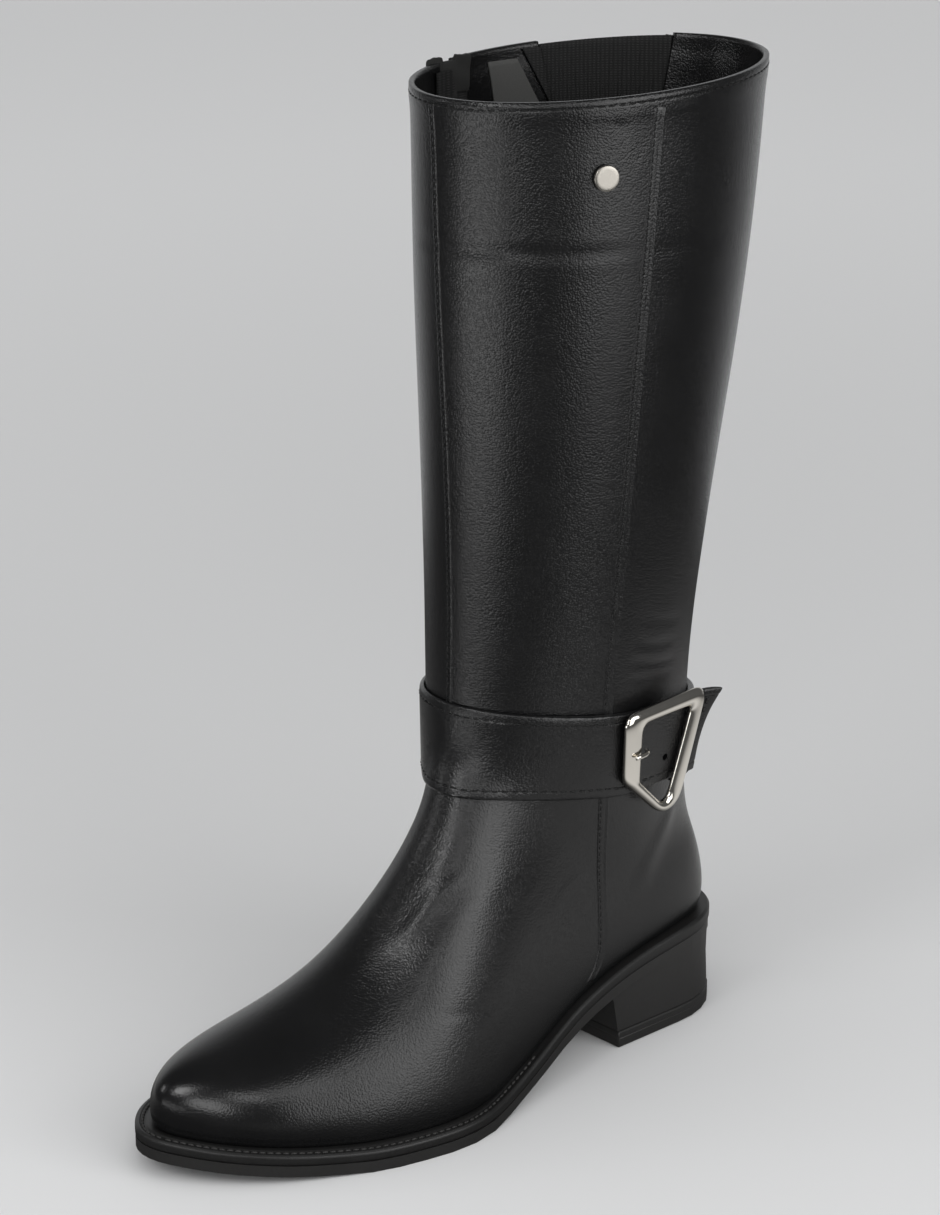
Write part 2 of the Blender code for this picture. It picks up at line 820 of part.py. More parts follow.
def rounded(corners):
    """An outline whose corners are arcs, as (along, height) points."""
    points = []
    for i, (a, h, radius) in enumerate(corners):
        here = np.array([a, h])
        back = np.array(corners[i - 1][:2]) - here
        ahead = np.array(corners[(i + 1) % len(corners)][:2]) - here
        back /= np.linalg.norm(back)
        ahead /= np.linalg.norm(ahead)
        inward = (back + ahead) / np.linalg.norm(back + ahead)
        half_angle = math.acos(float(np.clip(back @ ahead, -1.0, 1.0))) / 2
        centre = here + inward * radius / math.sin(half_angle)
        sweep = math.pi / 2 - half_angle
        side = np.array([-inward[1], inward[0]])
        if side @ back < 0:
            side = -side
        for step in range(BUCKLE_CORNER_STEPS + 1):
            turn = sweep * (1 - 2 * step / BUCKLE_CORNER_STEPS)
            points.append(centre + radius * (math.sin(turn) * side - math.cos(turn) * inward))
    return np.array(points)


def make_buckle():
    origin, along, up, out = buckle_axes()
    outer, window = rounded(BUCKLE_OUTER), rounded(BUCKLE_WINDOW)
    sections = []
    for edge, hole in zip(outer, window):
        section = []
        for share, over in BUCKLE_SECTION:
            a, h = edge + (hole - edge) * share
            section.append(origin + along * a + up * h + out * over)
        sections.append(np.array(section))
    return loft("buckle_frame", sections, metal(), True, closed_path=True)


def make_prong():
    """A short pin that rests on the buckle's front bar."""
    origin, along, up, out = buckle_axes()
    curve = bpy.data.curves.new("buckle_prong", "CURVE")
    curve.dimensions = "3D"
    curve.bevel_depth = PRONG_RADIUS * MM
    curve.bevel_resolution = 2
    curve.use_fill_caps = True
    line = curve.splines.new("POLY")
    line.points.add(len(PRONG_PATH) - 1)
    for point, (a, over) in zip(line.points, PRONG_PATH):
        point.co = (*((origin + along * a + up * PRONG_RISE + out * over) * MM), 1.0)
    curve.materials.append(metal())
    prong = bpy.data.objects.new("buckle_prong", curve)
    boot.objects.link(prong)
    return prong


# Stud, gore and zip


def local_frame(y, z, side):
    """A point of the form, with its outward normal, the way up along the leg, and the way across."""
    point = side_points(np.array([y]), np.array([z]), side, 0.0)
    out = outward(point)[0]
    up = np.array([0.0, 0.0, 1.0]) - out * out[2]
    up /= np.linalg.norm(up)
    return point[0], out, up, np.cross(up, out)


def make_stud():
    """A rivet head with a round edge and a nearly flat top."""
    point, out, up, across = local_frame(STUD_Y, STUD_Z, 1)
    sections = []
    for share, over in STUD_PROFILE:
        turn = np.arange(STUD_POINTS) * 2 * math.pi / STUD_POINTS
        ring = np.cos(turn)[:, None] * up + np.sin(turn)[:, None] * across
        sections.append(point + ring * STUD_RADIUS * share + out * (STUD_LIFT + over))
    return loft("collar_stud", sections, metal(), True, caps=True)


def gore_outline(inset, foot, top):
    """The gore's V, as (along, height) points; its sides are straight lines."""
    slope = (GORE_TOP_HALF - GORE_FOOT_HALF) / (BOOT_HEIGHT - GORE_FOOT_Z)
    low = GORE_FOOT_HALF + slope * (foot - GORE_FOOT_Z) - inset
    high = GORE_FOOT_HALF + slope * (top - GORE_FOOT_Z) - inset
    return [(-low, foot), (low, foot), (high, top), (-high, top)]


def make_gore(upper):
    """Elastic webbing in a notch of the collar."""
    opening = gore_outline(0.0, GORE_FOOT_Z, BOOT_HEIGHT + 20.0)
    cut(upper, prism("gore_notch", opening, GORE_MIDDLE, GORE_ALONG, CUT_REACH))
    degrees = np.linspace(GORE_FIRST_ANGLE, GORE_LAST_ANGLE, 16)
    levels = np.linspace(GORE_FOOT_Z - 4.0, BOOT_HEIGHT + 6.0, 9)
    rows = [leg_ring(degrees, lambda y, z=z: np.full(len(y), z), -GORE_DEPTH) for z in levels]
    gore = loft("elastic_gore", rows, cloth(), False)
    thicken(gore, GORE_THICK, -growing_side(gore))
    outline = gore_outline(0.4, GORE_FOOT_Z + 0.4, GORE_TOP_Z)
    cut(gore, prism("gore_outline", outline, GORE_MIDDLE, GORE_ALONG, CUT_REACH), "INTERSECT")


def zip_line(z):
    return np.full(np.shape(z), ZIP_Y)


def make_zip(upper):
    """Tape behind the wall, chain in the slot, slider and hanging tab."""
    slot = [
        (-ZIP_SLOT_HALF, ZIP_FOOT_Z),
        (ZIP_SLOT_HALF, ZIP_FOOT_Z),
        (ZIP_SLOT_HALF, BOOT_HEIGHT + 20.0),
        (-ZIP_SLOT_HALF, BOOT_HEIGHT + 20.0),
    ]
    cut(upper, prism("zip_slot", slot, (-40.0, ZIP_Y), (0.0, 1.0), CUT_REACH))
    top = BOOT_HEIGHT - 4.0
    inner = -WALL - 0.5
    levels = np.linspace(ZIP_FOOT_Z - ZIP_TAPE_OVER, top, ZIP_STEPS)
    tape_inner = inner - ZIP_TAPE_THICK
    strip_on_side("zip_tape", levels, zip_line, ZIP_TAPE_HALF, tape_inner, inner, -1, cloth(), 4)
    levels = np.linspace(ZIP_FOOT_Z + 0.6, top - 1.0, ZIP_STEPS)
    black = material("black_nylon", (0.02, 0.02, 0.02), 0.5)
    chain_inner = inner + GAP
    strip_on_side("zip_chain", levels, zip_line, ZIP_CHAIN_HALF, chain_inner, ZIP_CHAIN_OUT, -1, black, 2)
    make_slider()
    make_pull()


def block(name, place, axes, sizes, finish, bevel):
    """A box with rounded edges: its middle, its three axes and its sizes along them."""
    shape = bmesh.new()
    bmesh.ops.create_cube(shape, size=1.0)
    turn = Matrix([axes[0], axes[1], axes[2]]).transposed().to_4x4()
    for vert in shape.verts:
        vert.co = Vector([c * s * MM for c, s in zip(vert.co, sizes)])
    if bevel:
        bmesh.ops.bevel(
            shape,
            geom=list(shape.edges),
            offset=bevel * MM,
            segments=2,
            profile=0.5,
            affect="EDGES",
            material=-1,
        )
    bmesh.ops.transform(shape, matrix=Matrix.Translation(Vector(place) * MM) @ turn, verts=shape.verts)
    bmesh.ops.recalc_face_normals(shape, faces=shape.faces)
    mesh = bpy.data.meshes.new(name)
    shape.to_mesh(mesh)
    shape.free()
    return add_object(name, mesh, finish)


def rod(name, place, axis, radius, length, finish):
    shape = bmesh.new()
    bmesh.ops.create_cone(
        shape, cap_ends=True, segments=16, radius1=radius * MM, radius2=radius * MM, depth=length * MM
    )
    turn = Vector((0.0, 0.0, 1.0)).rotation_difference(Vector(axis)).to_matrix().to_4x4()
    bmesh.ops.transform(shape, matrix=Matrix.Translation(Vector(place) * MM) @ turn, verts=shape.verts)
    mesh = bpy.data.meshes.new(name)
    shape.to_mesh(mesh)
    shape.free()
    return add_object(name, mesh, finish)


def as_helper(obj):
    boot.objects.unlink(obj)
    cutters.objects.link(obj)
    obj.hide_render = True
    obj.display_type = "WIRE"
    return obj


def make_slider():
    """A zip slider over the chain, with two lugs and the pin that carries the tab."""
    point, out, up, across = local_frame(ZIP_Y, SLIDER_Z, -1)
    axes = (across, up, out)
    body_middle = point + out * (GAP + SLIDER_THICK / 2)
    sizes = (SLIDER_HALF_WIDTH * 2, SLIDER_LENGTH, SLIDER_THICK)
    slider = block("zip_slider", body_middle, axes, sizes, metal(), 0.6)
    lug_low = GAP + SLIDER_THICK - 0.5
    lug_high = PIN_OUT + PIN_RADIUS + 0.9
    for side in (-1, 1):
        middle = point + across * side * SLIDER_LUG_PLACE + out * (lug_low + lug_high) / 2
        lug_sizes = (SLIDER_LUG, SLIDER_LUG_LENGTH, lug_high - lug_low)
        lug = block(f"slider_lug_{side + 1}", middle, axes, lug_sizes, metal(), 0.0)
        cut(slider, as_helper(lug), "UNION")
    pin = rod("slider_pin", point + out * PIN_OUT, across, PIN_RADIUS, SLIDER_LUG_PLACE * 2, metal())
    cut(slider, as_helper(pin), "UNION")


def make_pull():
    """The tab: an eye round the slider's pin, a neck and a broader plate, hanging straight down."""
    point, out, up, across = local_frame(ZIP_Y, SLIDER_Z, -1)
    hinge = point + out * PIN_OUT
    down = np.array([0.0, 0.0, -1.0])
    face = np.cross(across, down)
    axes = (across, -down, face)
    eye = rod("zip_pull", hinge, across, PULL_EYE, PULL_NECK, metal())
    neck_length = 7.0
    neck_sizes = (PULL_NECK - 0.4, neck_length, PULL_THICK + 0.4)
    neck = block("pull_neck", hinge + down * (neck_length / 2 + 1.3), axes, neck_sizes, metal(), 0.0)
    plate_length = PULL_LENGTH - neck_length
    plate_middle = hinge + down * (neck_length + plate_length / 2)
    plate_sizes = (PULL_WIDTH, plate_length, PULL_THICK)
    plate = block("pull_plate", plate_middle, axes, plate_sizes, metal(), 0.4)
    cut(eye, as_helper(neck), "UNION")
    cut(eye, as_helper(plate), "UNION")
    hole = rod("pull_hole", hinge, across, PULL_HOLE, PULL_NECK + 4.0, metal())
    cut(eye, as_helper(hole))


def main():
    clear_scene()
    make_welt()
    make_outsole()
    make_top_lift()
    upper = make_upper()
    make_insole()
    make_seams()
    make_back_strap()
    make_ankle_strap()
    make_buckle()
    make_prong()
    make_stud()
    make_gore(upper)
    make_zip(upper)


main()
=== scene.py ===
"""Looks of a tall black leather riding boot with a buckled ankle strap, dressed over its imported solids."""

import math

import bmesh
import bpy
import numpy as np
from mathutils import Matrix, Vector
from mathutils.bvhtree import BVHTree


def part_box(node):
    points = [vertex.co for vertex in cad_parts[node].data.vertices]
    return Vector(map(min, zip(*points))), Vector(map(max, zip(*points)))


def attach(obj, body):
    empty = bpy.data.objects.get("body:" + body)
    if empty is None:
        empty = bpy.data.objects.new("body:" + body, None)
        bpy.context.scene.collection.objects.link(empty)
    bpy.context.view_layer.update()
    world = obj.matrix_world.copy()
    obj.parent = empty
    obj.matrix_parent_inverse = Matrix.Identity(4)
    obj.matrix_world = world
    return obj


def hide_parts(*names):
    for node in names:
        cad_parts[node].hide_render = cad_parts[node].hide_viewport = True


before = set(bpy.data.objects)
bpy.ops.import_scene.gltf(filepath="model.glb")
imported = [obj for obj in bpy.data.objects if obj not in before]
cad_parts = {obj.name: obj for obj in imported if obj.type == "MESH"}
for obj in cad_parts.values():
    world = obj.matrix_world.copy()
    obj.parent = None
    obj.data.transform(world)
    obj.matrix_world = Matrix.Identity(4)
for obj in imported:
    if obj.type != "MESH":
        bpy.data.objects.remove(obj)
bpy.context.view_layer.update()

# Leather of the upper
# Black calf leather with a fine pebbled grain and a satin dressing. The same hide makes the foot,
# the leg panels, the straps and the seam strips, so its finish is built first.

MM = 0.001


def new_finish(name):
    """An empty material with its node tree, links and shader."""
    finish = bpy.data.materials.new(name)
    finish.use_nodes = True
    tree = finish.node_tree
    return finish, tree.nodes, tree.links, tree.nodes["Principled BSDF"]


def filled(node, values):
    """Sets the values of some of a node's inputs."""
    for socket, value in values.items():
        node.inputs[socket].default_value = value


def shader_node(nodes, kind, values=None, **settings):
    """A new shader node with its settings and the values of its inputs."""
    node = nodes.new("ShaderNode" + kind)
    for setting, value in settings.items():
        setattr(node, setting, value)
    filled(node, values or {})
    return node


def linked(links, pairs):
    for source, target in pairs:
        links.new(source, target)


def product(nodes, links, one, other):
    times = shader_node(nodes, "Math", operation="MULTIPLY")
    linked(links, [(one, times.inputs[0]), (other, times.inputs[1])])
    return times.outputs["Value"]


def ranged(nodes, links, source, low, high, span=None):
    """A value from 0 to 1 spread between low and high. With a span, one that eases across it."""
    start, end = span or (0.0, 1.0)
    values = {"From Min": start, "From Max": end, "To Min": low, "To Max": high}
    way = "SMOOTHSTEP" if span else "LINEAR"
    spread = shader_node(nodes, "MapRange", values, interpolation_type=way)
    links.new(source, spread.inputs["Value"])
    return spread.outputs["Result"]


def tinted(nodes, links, source, dark, light):
    """A colour between dark and light, by a value from 0 to 1."""
    tint = nodes.new("ShaderNodeValToRGB")
    tint.color_ramp.elements[0].color = (*dark, 1.0)
    tint.color_ramp.elements[1].color = (*light, 1.0)
    links.new(source, tint.inputs["Fac"])
    return tint.outputs["Color"]


def bumped(nodes, links, shader, height, strength, distance):
    bump = shader_node(nodes, "Bump", {"Strength": strength, "Distance": distance})
    linked(links, [(height, bump.inputs["Height"]), (bump.outputs["Normal"], shader.inputs["Normal"])])


def noise(nodes, links, scale, detail=2.0):
    """Fine noise fixed to the piece, from 0 to 1."""
    cloud = shader_node(nodes, "TexNoise", {"Scale": scale, "Detail": detail})
    links.new(nodes.new("ShaderNodeTexCoord").outputs["Object"], cloud.inputs["Vector"])
    return cloud.outputs["Fac"]


def make_pebble_grain():
    """Grain of a hide: small pebbles of uneven size, hair pores, and slow patches."""
    group = bpy.data.node_groups.new("pebble_grain", "ShaderNodeTree")
    for name, way, kind in (
        ("Vector", "INPUT", "Vector"),
        ("Pebbles", "INPUT", "Float"),
        ("Height", "OUTPUT", "Float"),
        ("Patch", "OUTPUT", "Float"),
    ):
        group.interface.new_socket(name, in_out=way, socket_type="NodeSocket" + kind)
    nodes, links = group.nodes, group.links
    given, made = nodes.new("NodeGroupInput"), nodes.new("NodeGroupOutput")
    wobble = shader_node(nodes, "TexNoise", {"Scale": 420.0, "Detail": 1.0})
    shift = shader_node(nodes, "VectorMath", {1: (0.0003, 0.0003, 0.0003)}, operation="MULTIPLY_ADD")
    pebble = shader_node(nodes, "TexVoronoi", {"Smoothness": 0.35}, feature="SMOOTH_F1")
    pores = shader_node(nodes, "TexNoise", {"Scale": 2600.0, "Detail": 2.0})
    patch = shader_node(nodes, "TexNoise", {"Scale": 55.0, "Detail": 3.0})
    hollow = shader_node(nodes, "Math", {1: -1.0, 2: 1.0}, operation="MULTIPLY_ADD")
    blend = shader_node(nodes, "Math", {1: 0.35}, operation="MULTIPLY_ADD")
    linked(
        links,
        [
            (given.outputs["Vector"], wobble.inputs["Vector"]),
            (given.outputs["Vector"], pores.inputs["Vector"]),
            (given.outputs["Vector"], patch.inputs["Vector"]),
            (wobble.outputs["Color"], shift.inputs[0]),
            (given.outputs["Vector"], shift.inputs[2]),
            (shift.outputs["Vector"], pebble.inputs["Vector"]),
            (given.outputs["Pebbles"], pebble.inputs["Scale"]),
            (pebble.outputs["Distance"], hollow.inputs[0]),
            (pores.outputs["Fac"], blend.inputs[0]),
            (hollow.outputs["Value"], blend.inputs[2]),
            (blend.outputs["Value"], made.inputs["Height"]),
            (patch.outputs["Fac"], made.inputs["Patch"]),
        ],
    )
    return group


pebble_grain = make_pebble_grain()


TOE_Y, VAMP_Y = -0.215, -0.150


def leather(name, pebbles=1380.0, relief=0.00025, strength=0.52, roughness=(0.20, 0.28), light=0.0060):
    """Black dressed hide; where it is pulled tight over the toe its grain is flatter and glossier."""
    finish, nodes, links, shader = new_finish(name)
    place = nodes.new("ShaderNodeTexCoord").outputs["Object"]
    grain = shader_node(nodes, "Group", node_tree=pebble_grain)
    filled(grain, {"Pebbles": pebbles})
    apart = nodes.new("ShaderNodeSeparateXYZ")
    slack = ranged(nodes, links, apart.outputs["Y"], 0.36, 1.0, (TOE_Y, VAMP_Y))
    dulled = ranged(nodes, links, slack, 0.80, 1.0)
    patch = grain.outputs["Patch"]
    colour = tinted(nodes, links, patch, (0.0032, 0.0032, 0.0034), (light, light, light * 1.04))
    rough = product(nodes, links, ranged(nodes, links, patch, *roughness), dulled)
    linked(
        links,
        [
            (place, grain.inputs["Vector"]),
            (place, apart.inputs["Vector"]),
            (colour, shader.inputs["Base Color"]),
            (rough, shader.inputs["Roughness"]),
        ],
    )
    relaxed = product(nodes, links, grain.outputs["Height"], slack)
    bumped(nodes, links, shader, relaxed, strength, relief)
    filled(shader, {"Specular IOR Level": 0.50, "Coat Weight": 0.12, "Coat Roughness": 0.20})
    return finish


calf = leather("black_calf")

# Upper
# One shell of foot and leg, sewn from leather panels and pulled over a last. Its lower edge is
# tucked in behind the welt, its collar is turned over, and its inside is faced with dark cloth.

LEG_AXIS_Y = -0.038
WELT_TUCK = 1.3 * MM
FOOT_EDGE_Z, COLLAR_EDGE_Z = 0.025, 0.372


def copied(node):
    """The merged mesh of a CAD solid, with its triangles paired up again."""
    shape = bmesh.new()
    shape.from_mesh(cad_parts[node].data)
    bmesh.ops.remove_doubles(shape, verts=shape.verts, dist=1e-6)
    bmesh.ops.join_triangles(
        shape,
        faces=shape.faces,
        angle_face_threshold=math.radians(70.0),
        angle_shape_threshold=math.radians(100.0),
        topology_influence=2.0,
    )
    return shape


def placed(name, data):
    """A new object in the scene."""
    thing = bpy.data.objects.new(name, data)
    bpy.context.scene.collection.objects.link(thing)
    return thing


def divided(piece, levels):
    divide = piece.modifiers.new("divide", "SUBSURF")
    divide.levels = levels
    divide.render_levels = levels


def smoothed(shape, levels):
    """The shape after rounds of subdivision."""
    rough = bpy.data.meshes.new("rough")
    shape.to_mesh(rough)
    holder = placed("rough", rough)
    divided(holder, levels)
    fine = bpy.data.meshes.new_from_object(holder.evaluated_get(bpy.context.evaluated_depsgraph_get()))
    shape.clear()
    shape.from_mesh(fine)
    bpy.data.objects.remove(holder)
    return shape


def as_piece(shape, name, finishes, nodes=(), body="boot", sharp=180.0):
    """Puts a finished mesh into the scene, on its body and in place of its CAD solids."""
    mesh = bpy.data.meshes.new(name)
    shape.to_mesh(mesh)
    shape.free()
    carried = mesh.attributes.get("custom_normal")
    if carried:
        mesh.attributes.remove(carried)
    mesh.materials.clear()
    for finish in finishes:
        mesh.materials.append(finish)
    mesh.shade_smooth()
    if sharp < 180.0:
        mesh.set_sharp_from_angle(angle=math.radians(sharp))
    piece = placed(name, mesh)
    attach(piece, body)
    if nodes:
        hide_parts(*nodes)
    return piece


def cloth(name, dark, light):
    """Brushed lining cloth with a short nap."""
    finish, nodes, links, shader = new_finish(name)
    nap = noise(nodes, links, 2200.0, 4.0)
    colour = tinted(nodes, links, nap, (dark, dark, dark * 0.96), (light, light, light * 0.96))
    links.new(colour, shader.inputs["Base Color"])
    bumped(nodes, links, shader, nap, 0.25, 0.00015)
    shader.inputs["Roughness"].default_value = 0.8
    return finish


lining = cloth("black_lining", 0.006, 0.016)


upper_shape = copied("upper")
walls = BVHTree.FromBMesh(upper_shape)
for face in upper_shape.faces:
    middle, away = face.calc_center_median(), face.normal
    if middle.z > 0.15:
        inside = away.x * middle.x + away.y * (middle.y - LEG_AXIS_Y) < 0.0 and away.z < 0.6
    else:
        inside = walls.ray_cast(middle + away * 0.0001, away, 0.3)[0] is not None
    face.material_index = 1 if inside else 0
tucked = set()
for face in upper_shape.faces:
    if face.normal.z < -0.6 and face.calc_center_median().z < 0.05:
        tucked.update(face.verts)
for vert in tucked:
    vert.co.z -= WELT_TUCK
held = upper_shape.edges.layers.float.new("crease_edge")
for edge in upper_shape.edges:
    if edge.verts[0].co.z > 0.27 and edge.calc_face_angle(0.0) > math.radians(50.0):
        edge[held] = 0.75
smoothed(upper_shape, 2)
skin_verts = []
for vert in upper_shape.verts:
    outside = all(face.material_index == 0 and face.normal.z < 0.9 for face in vert.link_faces)
    if outside and FOOT_EDGE_Z - 0.16 * vert.co.y < vert.co.z < COLLAR_EDGE_Z:
        skin_verts.append(vert)


def eased(shape, verts, rounds):
    """Draws vertices halfway to the middle of their neighbours, some rounds over."""
    for _ in range(rounds):
        bmesh.ops.smooth_vert(
            shape, verts=verts, factor=0.5, use_axis_x=True, use_axis_y=True, use_axis_z=True
        )


eased(upper_shape, skin_verts, 8)


def evened(shape, verts, rounds):
    """Takes small bumps out of some vertices and keeps the broad form: each round draws every one
    to the middle of its neighbours and then pushes it back a little further."""
    shape.verts.index_update()
    places = np.array([vert.co for vert in shape.verts])
    chosen = np.array([vert.index for vert in verts])
    pairs = [(k, edge.other_vert(vert).index) for k, vert in enumerate(verts) for edge in vert.link_edges]
    owner, other = np.array(pairs).T
    counts = np.bincount(owner, minlength=len(verts))[:, None]
    for _ in range(rounds):
        for factor in (0.5, -0.52):
            middle = np.zeros((len(verts), 3))
            np.add.at(middle, owner, places[other])
            places[chosen] += factor * (middle / counts - places[chosen])
    for vert, index in zip(verts, chosen):
        vert.co = places[index]


evened(upper_shape, [vert for vert in skin_verts if vert.co.z < 0.16], 220)

# Soft folds that wear and the last have pressed into the leather: points in millimetres, how deep
# the trough is, how wide, and how high the ridge beside it stands as a share of the depth
FOLDS = (
    (
        ((-24, -92, 324), (-7, -99, 324), (6, -99, 324), (23, -93, 325), (39, -78, 324), (52, -48, 324)),
        0.28, 3.0, 0.5,
    ),
    (((52, -48, 324), (54, -28, 322), (48, -4, 320)), 0.14, 3.6, 0.4),
    (((48.7, -61.4, 370.9), (50.3, -56.5, 365.9)), 0.35, 1.6, 0.6),
    (((51.0, -53.6, 360.7), (52.6, -47.2, 355.5)), 0.35, 1.6, 0.6),
    (((34, -90, 113), (30, -104, 101), (26, -117, 91), (23, -132, 78), (20, -150, 61), (17, -164, 52)),
     0.50, 8.0, 0.3),
    (((28, -3, 96), (29, -10.4, 85), (29, -17, 76), (29.5, -26, 62)), -0.7, 5.0, 0.4),
    (((42.7, -43.5, 173.7), (42, -32, 169), (38, -15.5, 166)), 0.11, 2.2, 0.6),
    (((42, -45.6, 165.3), (41.3, -32, 161.3), (36.8, -14, 158)), 0.13, 2.2, 0.6),
    (((41.3, -45, 158), (41, -33, 155.7), (37.3, -16.4, 153.3)), 0.12, 2.0, 0.6),
    (((43.6, -40, 182.7), (42.5, -29, 178), (37, -10, 174)), 0.09, 2.4, 0.5),
    (((53.8, -38.5, 342.8), (54.4, -31.2, 347.3)), 0.15, 1.2, 0.6),
)


def pressed(shape, folds):
    """Moves the leather, with its lining, in along each fold and out beside it."""
    shape.normal_update()
    verts = [v for v in shape.verts if len({f.material_index for f in v.link_faces}) == 1]
    places = np.array([v.co for v in verts])
    normals = np.array([v.normal * (1 - 2 * v.link_faces[0].material_index) for v in verts])
    moved = np.zeros(len(verts))
    for points, depth, width, ridge in folds:
        corners = np.array(points, float) * MM
        run = np.concatenate([[0.0], np.cumsum(np.linalg.norm(np.diff(corners, axis=0), axis=1))])
        step = 0.4 * width * MM
        at = np.arange(0.0, run[-1], step)
        line = np.column_stack([np.interp(at, run, corners[:, axis]) for axis in range(3)])
        share = np.clip(np.minimum(at, run[-1] - at) / (0.25 * run[-1]), 0.0, 1.0)
        weights = share * share * (3.0 - 2.0 * share)
        squares = ((places[:, None, :] - line[None, :, :]) ** 2).sum(axis=2)
        near, wide = width * MM, 1.9 * width * MM
        trough = np.exp(-squares / near**2) @ weights * step / (near * math.sqrt(math.pi))
        swell = np.exp(-squares / wide**2) @ weights * step / (wide * math.sqrt(math.pi))
        moved -= depth * MM * (trough * (1.0 + 2.0 * ridge) - swell * 2.0 * ridge)
    for vert, normal, move in zip(verts, normals, moved):
        vert.co += Vector(normal * move)


def cut_across(shape, faces, spot, facing):
    """Cuts some faces where a plane crosses them; gives the faces and the vertices of the cut."""
    near = [face for face in faces if face.is_valid]
    geom = near + list({e for f in near for e in f.edges}) + list({v for f in near for v in f.verts})
    cut = bmesh.ops.bisect_plane(shape, geom=geom, plane_co=spot, plane_no=facing)
    left = [item for item in cut["geom"] if isinstance(item, bmesh.types.BMFace)]
    return left, [item for item in cut["geom_cut"] if isinstance(item, bmesh.types.BMVert)]


def cut_rows(shape, low, high, count, sideways):
    """Cuts level rows through the outer leather, close enough together to hold a narrow crease."""
    faces = []
    for face in shape.faces:
        middle = face.calc_center_median()
        if face.material_index == 0 and middle.x > sideways and low - 0.006 < middle.z < high + 0.006:
            faces.append(face)
    for z in np.linspace(low, high, count):
        faces, _ = cut_across(shape, faces, (0.0, 0.0, z), (0.0, 0.0, 1.0))


FURROW_HALF = 0.55 * MM


def furrowed(shape, faces, spot, facing, depth, outward):
    """Cuts a narrow furrow for a row of stitches where a plane crosses some faces."""
    facing = facing.normalized()
    for shift in (-FURROW_HALF, FURROW_HALF, 0.0):
        faces, bottom = cut_across(shape, faces, spot + facing * shift, facing)
    shape.normal_update()
    for vert in bottom:
        if outward(vert):
            vert.co -= vert.normal * depth


COLLAR_ROW = Vector((0.0, LEG_AXIS_Y, 0.3772))
COLLAR_TILT = Vector((0.0, -0.04, 1.0))

cut_rows(upper_shape, 0.3145, 0.3335, 15, -0.06)
cut_rows(upper_shape, 0.1495, 0.1865, 28, 0.026)
pressed(upper_shape, FOLDS)
evened(upper_shape, [vert for vert in skin_verts if vert.co.z < 0.13 and vert.co.y < -0.07], 160)
rim_faces = []
for face in upper_shape.faces:
    above = (face.calc_center_median() - COLLAR_ROW).dot(COLLAR_TILT)
    if face.material_index == 0 and abs(above) < 5.0 * MM and abs(face.normal.z) < 0.6:
        rim_faces.append(face)
furrowed(
    upper_shape,
    rim_faces,
    COLLAR_ROW,
    COLLAR_TILT,
    0.22 * MM,
    lambda vert: vert.normal.x * vert.co.x + vert.normal.y * (vert.co.y - LEG_AXIS_Y) > 0.0,
)
skin = BVHTree.FromBMesh(upper_shape)
as_piece(upper_shape, "boot_upper", [calf, lining], ["upper"])

# Seam strips
# Where two leather panels meet, a narrow strip covers the join down the outer side and up the
# front. Its back edge is folded over a cord, and a row of black thread runs along its front edge.

UNDER_STRAP, UNDER_COLLAR = 6.0 * MM, 5.0 * MM


def laid_strip(levels, across, toward, profile, reach=0.06):
    """A strip that follows the leather: centre points, the way across, the way in, and a profile."""
    shape = bmesh.new()
    wide, long = len(profile) - 1, len(levels) - 1
    bmesh.ops.create_grid(shape, x_segments=wide, y_segments=long, size=1.0)
    for vert in shape.verts:
        i = round((vert.co.x + 1.0) / 2.0 * wide)
        j = round((vert.co.y + 1.0) / 2.0 * long)
        offset, height = profile[i]
        if j in (0, long):
            height = -0.4
        start = levels[j] + across * offset * MM - toward * reach
        place, normal, _, _ = skin.ray_cast(start, toward)
        vert.co = place + normal * height * MM
    bmesh.ops.recalc_face_normals(shape, faces=shape.faces)
    shape.faces.ensure_lookup_table()
    if shape.faces[0].normal.dot(toward) > 0.0:
        bmesh.ops.reverse_faces(shape, faces=shape.faces)
    return shape


def walled(piece, thickness):
    """Gives a thin piece its thickness, inwards from its outer face."""
    wall = piece.modifiers.new("wall", "SOLIDIFY")
    wall.thickness = thickness
    wall.offset = -1.0


def centre_line(node, step):
    """Points up the middle of a CAD strip, close together."""
    shape = copied(node)
    corners = sorted((v.co.copy() for v in shape.verts), key=lambda co: co.z)
    shape.free()
    rows = [sum(corners[i : i + 4], Vector()) / 4 for i in range(0, len(corners), 4)]
    if node.startswith("shaft"):
        rows.insert(0, rows[0] + (rows[0] - rows[1]).normalized() * UNDER_STRAP)
        rows.append(rows[-1] + (rows[-1] - rows[-2]).normalized() * UNDER_COLLAR)
    else:
        rows.append(rows[-1] + (rows[-1] - rows[-2]).normalized() * UNDER_STRAP)
    line = [rows[0]]
    for low, high in zip(rows, rows[1:]):
        count = max(round((high - low).length / step), 1)
        line += [low.lerp(high, (k + 1) / count) for k in range(count)]
    return line


def sew(stitches, row, pitch, length, thick):
    """Adds a stitch's place and axes for each step along a row of places with normals."""
    run, due = 0.0, pitch * 0.5
    for (here, out), (there, _) in zip(row, row[1:]):
        step = there - here
        along = step.normalized()
        across = out.cross(along).normalized()
        rise = along.cross(across)
        while due <= run + step.length:
            place = here + along * (due - run) + rise * thick * 0.12
            axes = Matrix((across * thick / 2, rise * thick / 2, along * length / 2)).transposed()
            stitches.append(Matrix.Translation(place) @ axes.to_4x4())
            due += pitch
        run += step.length


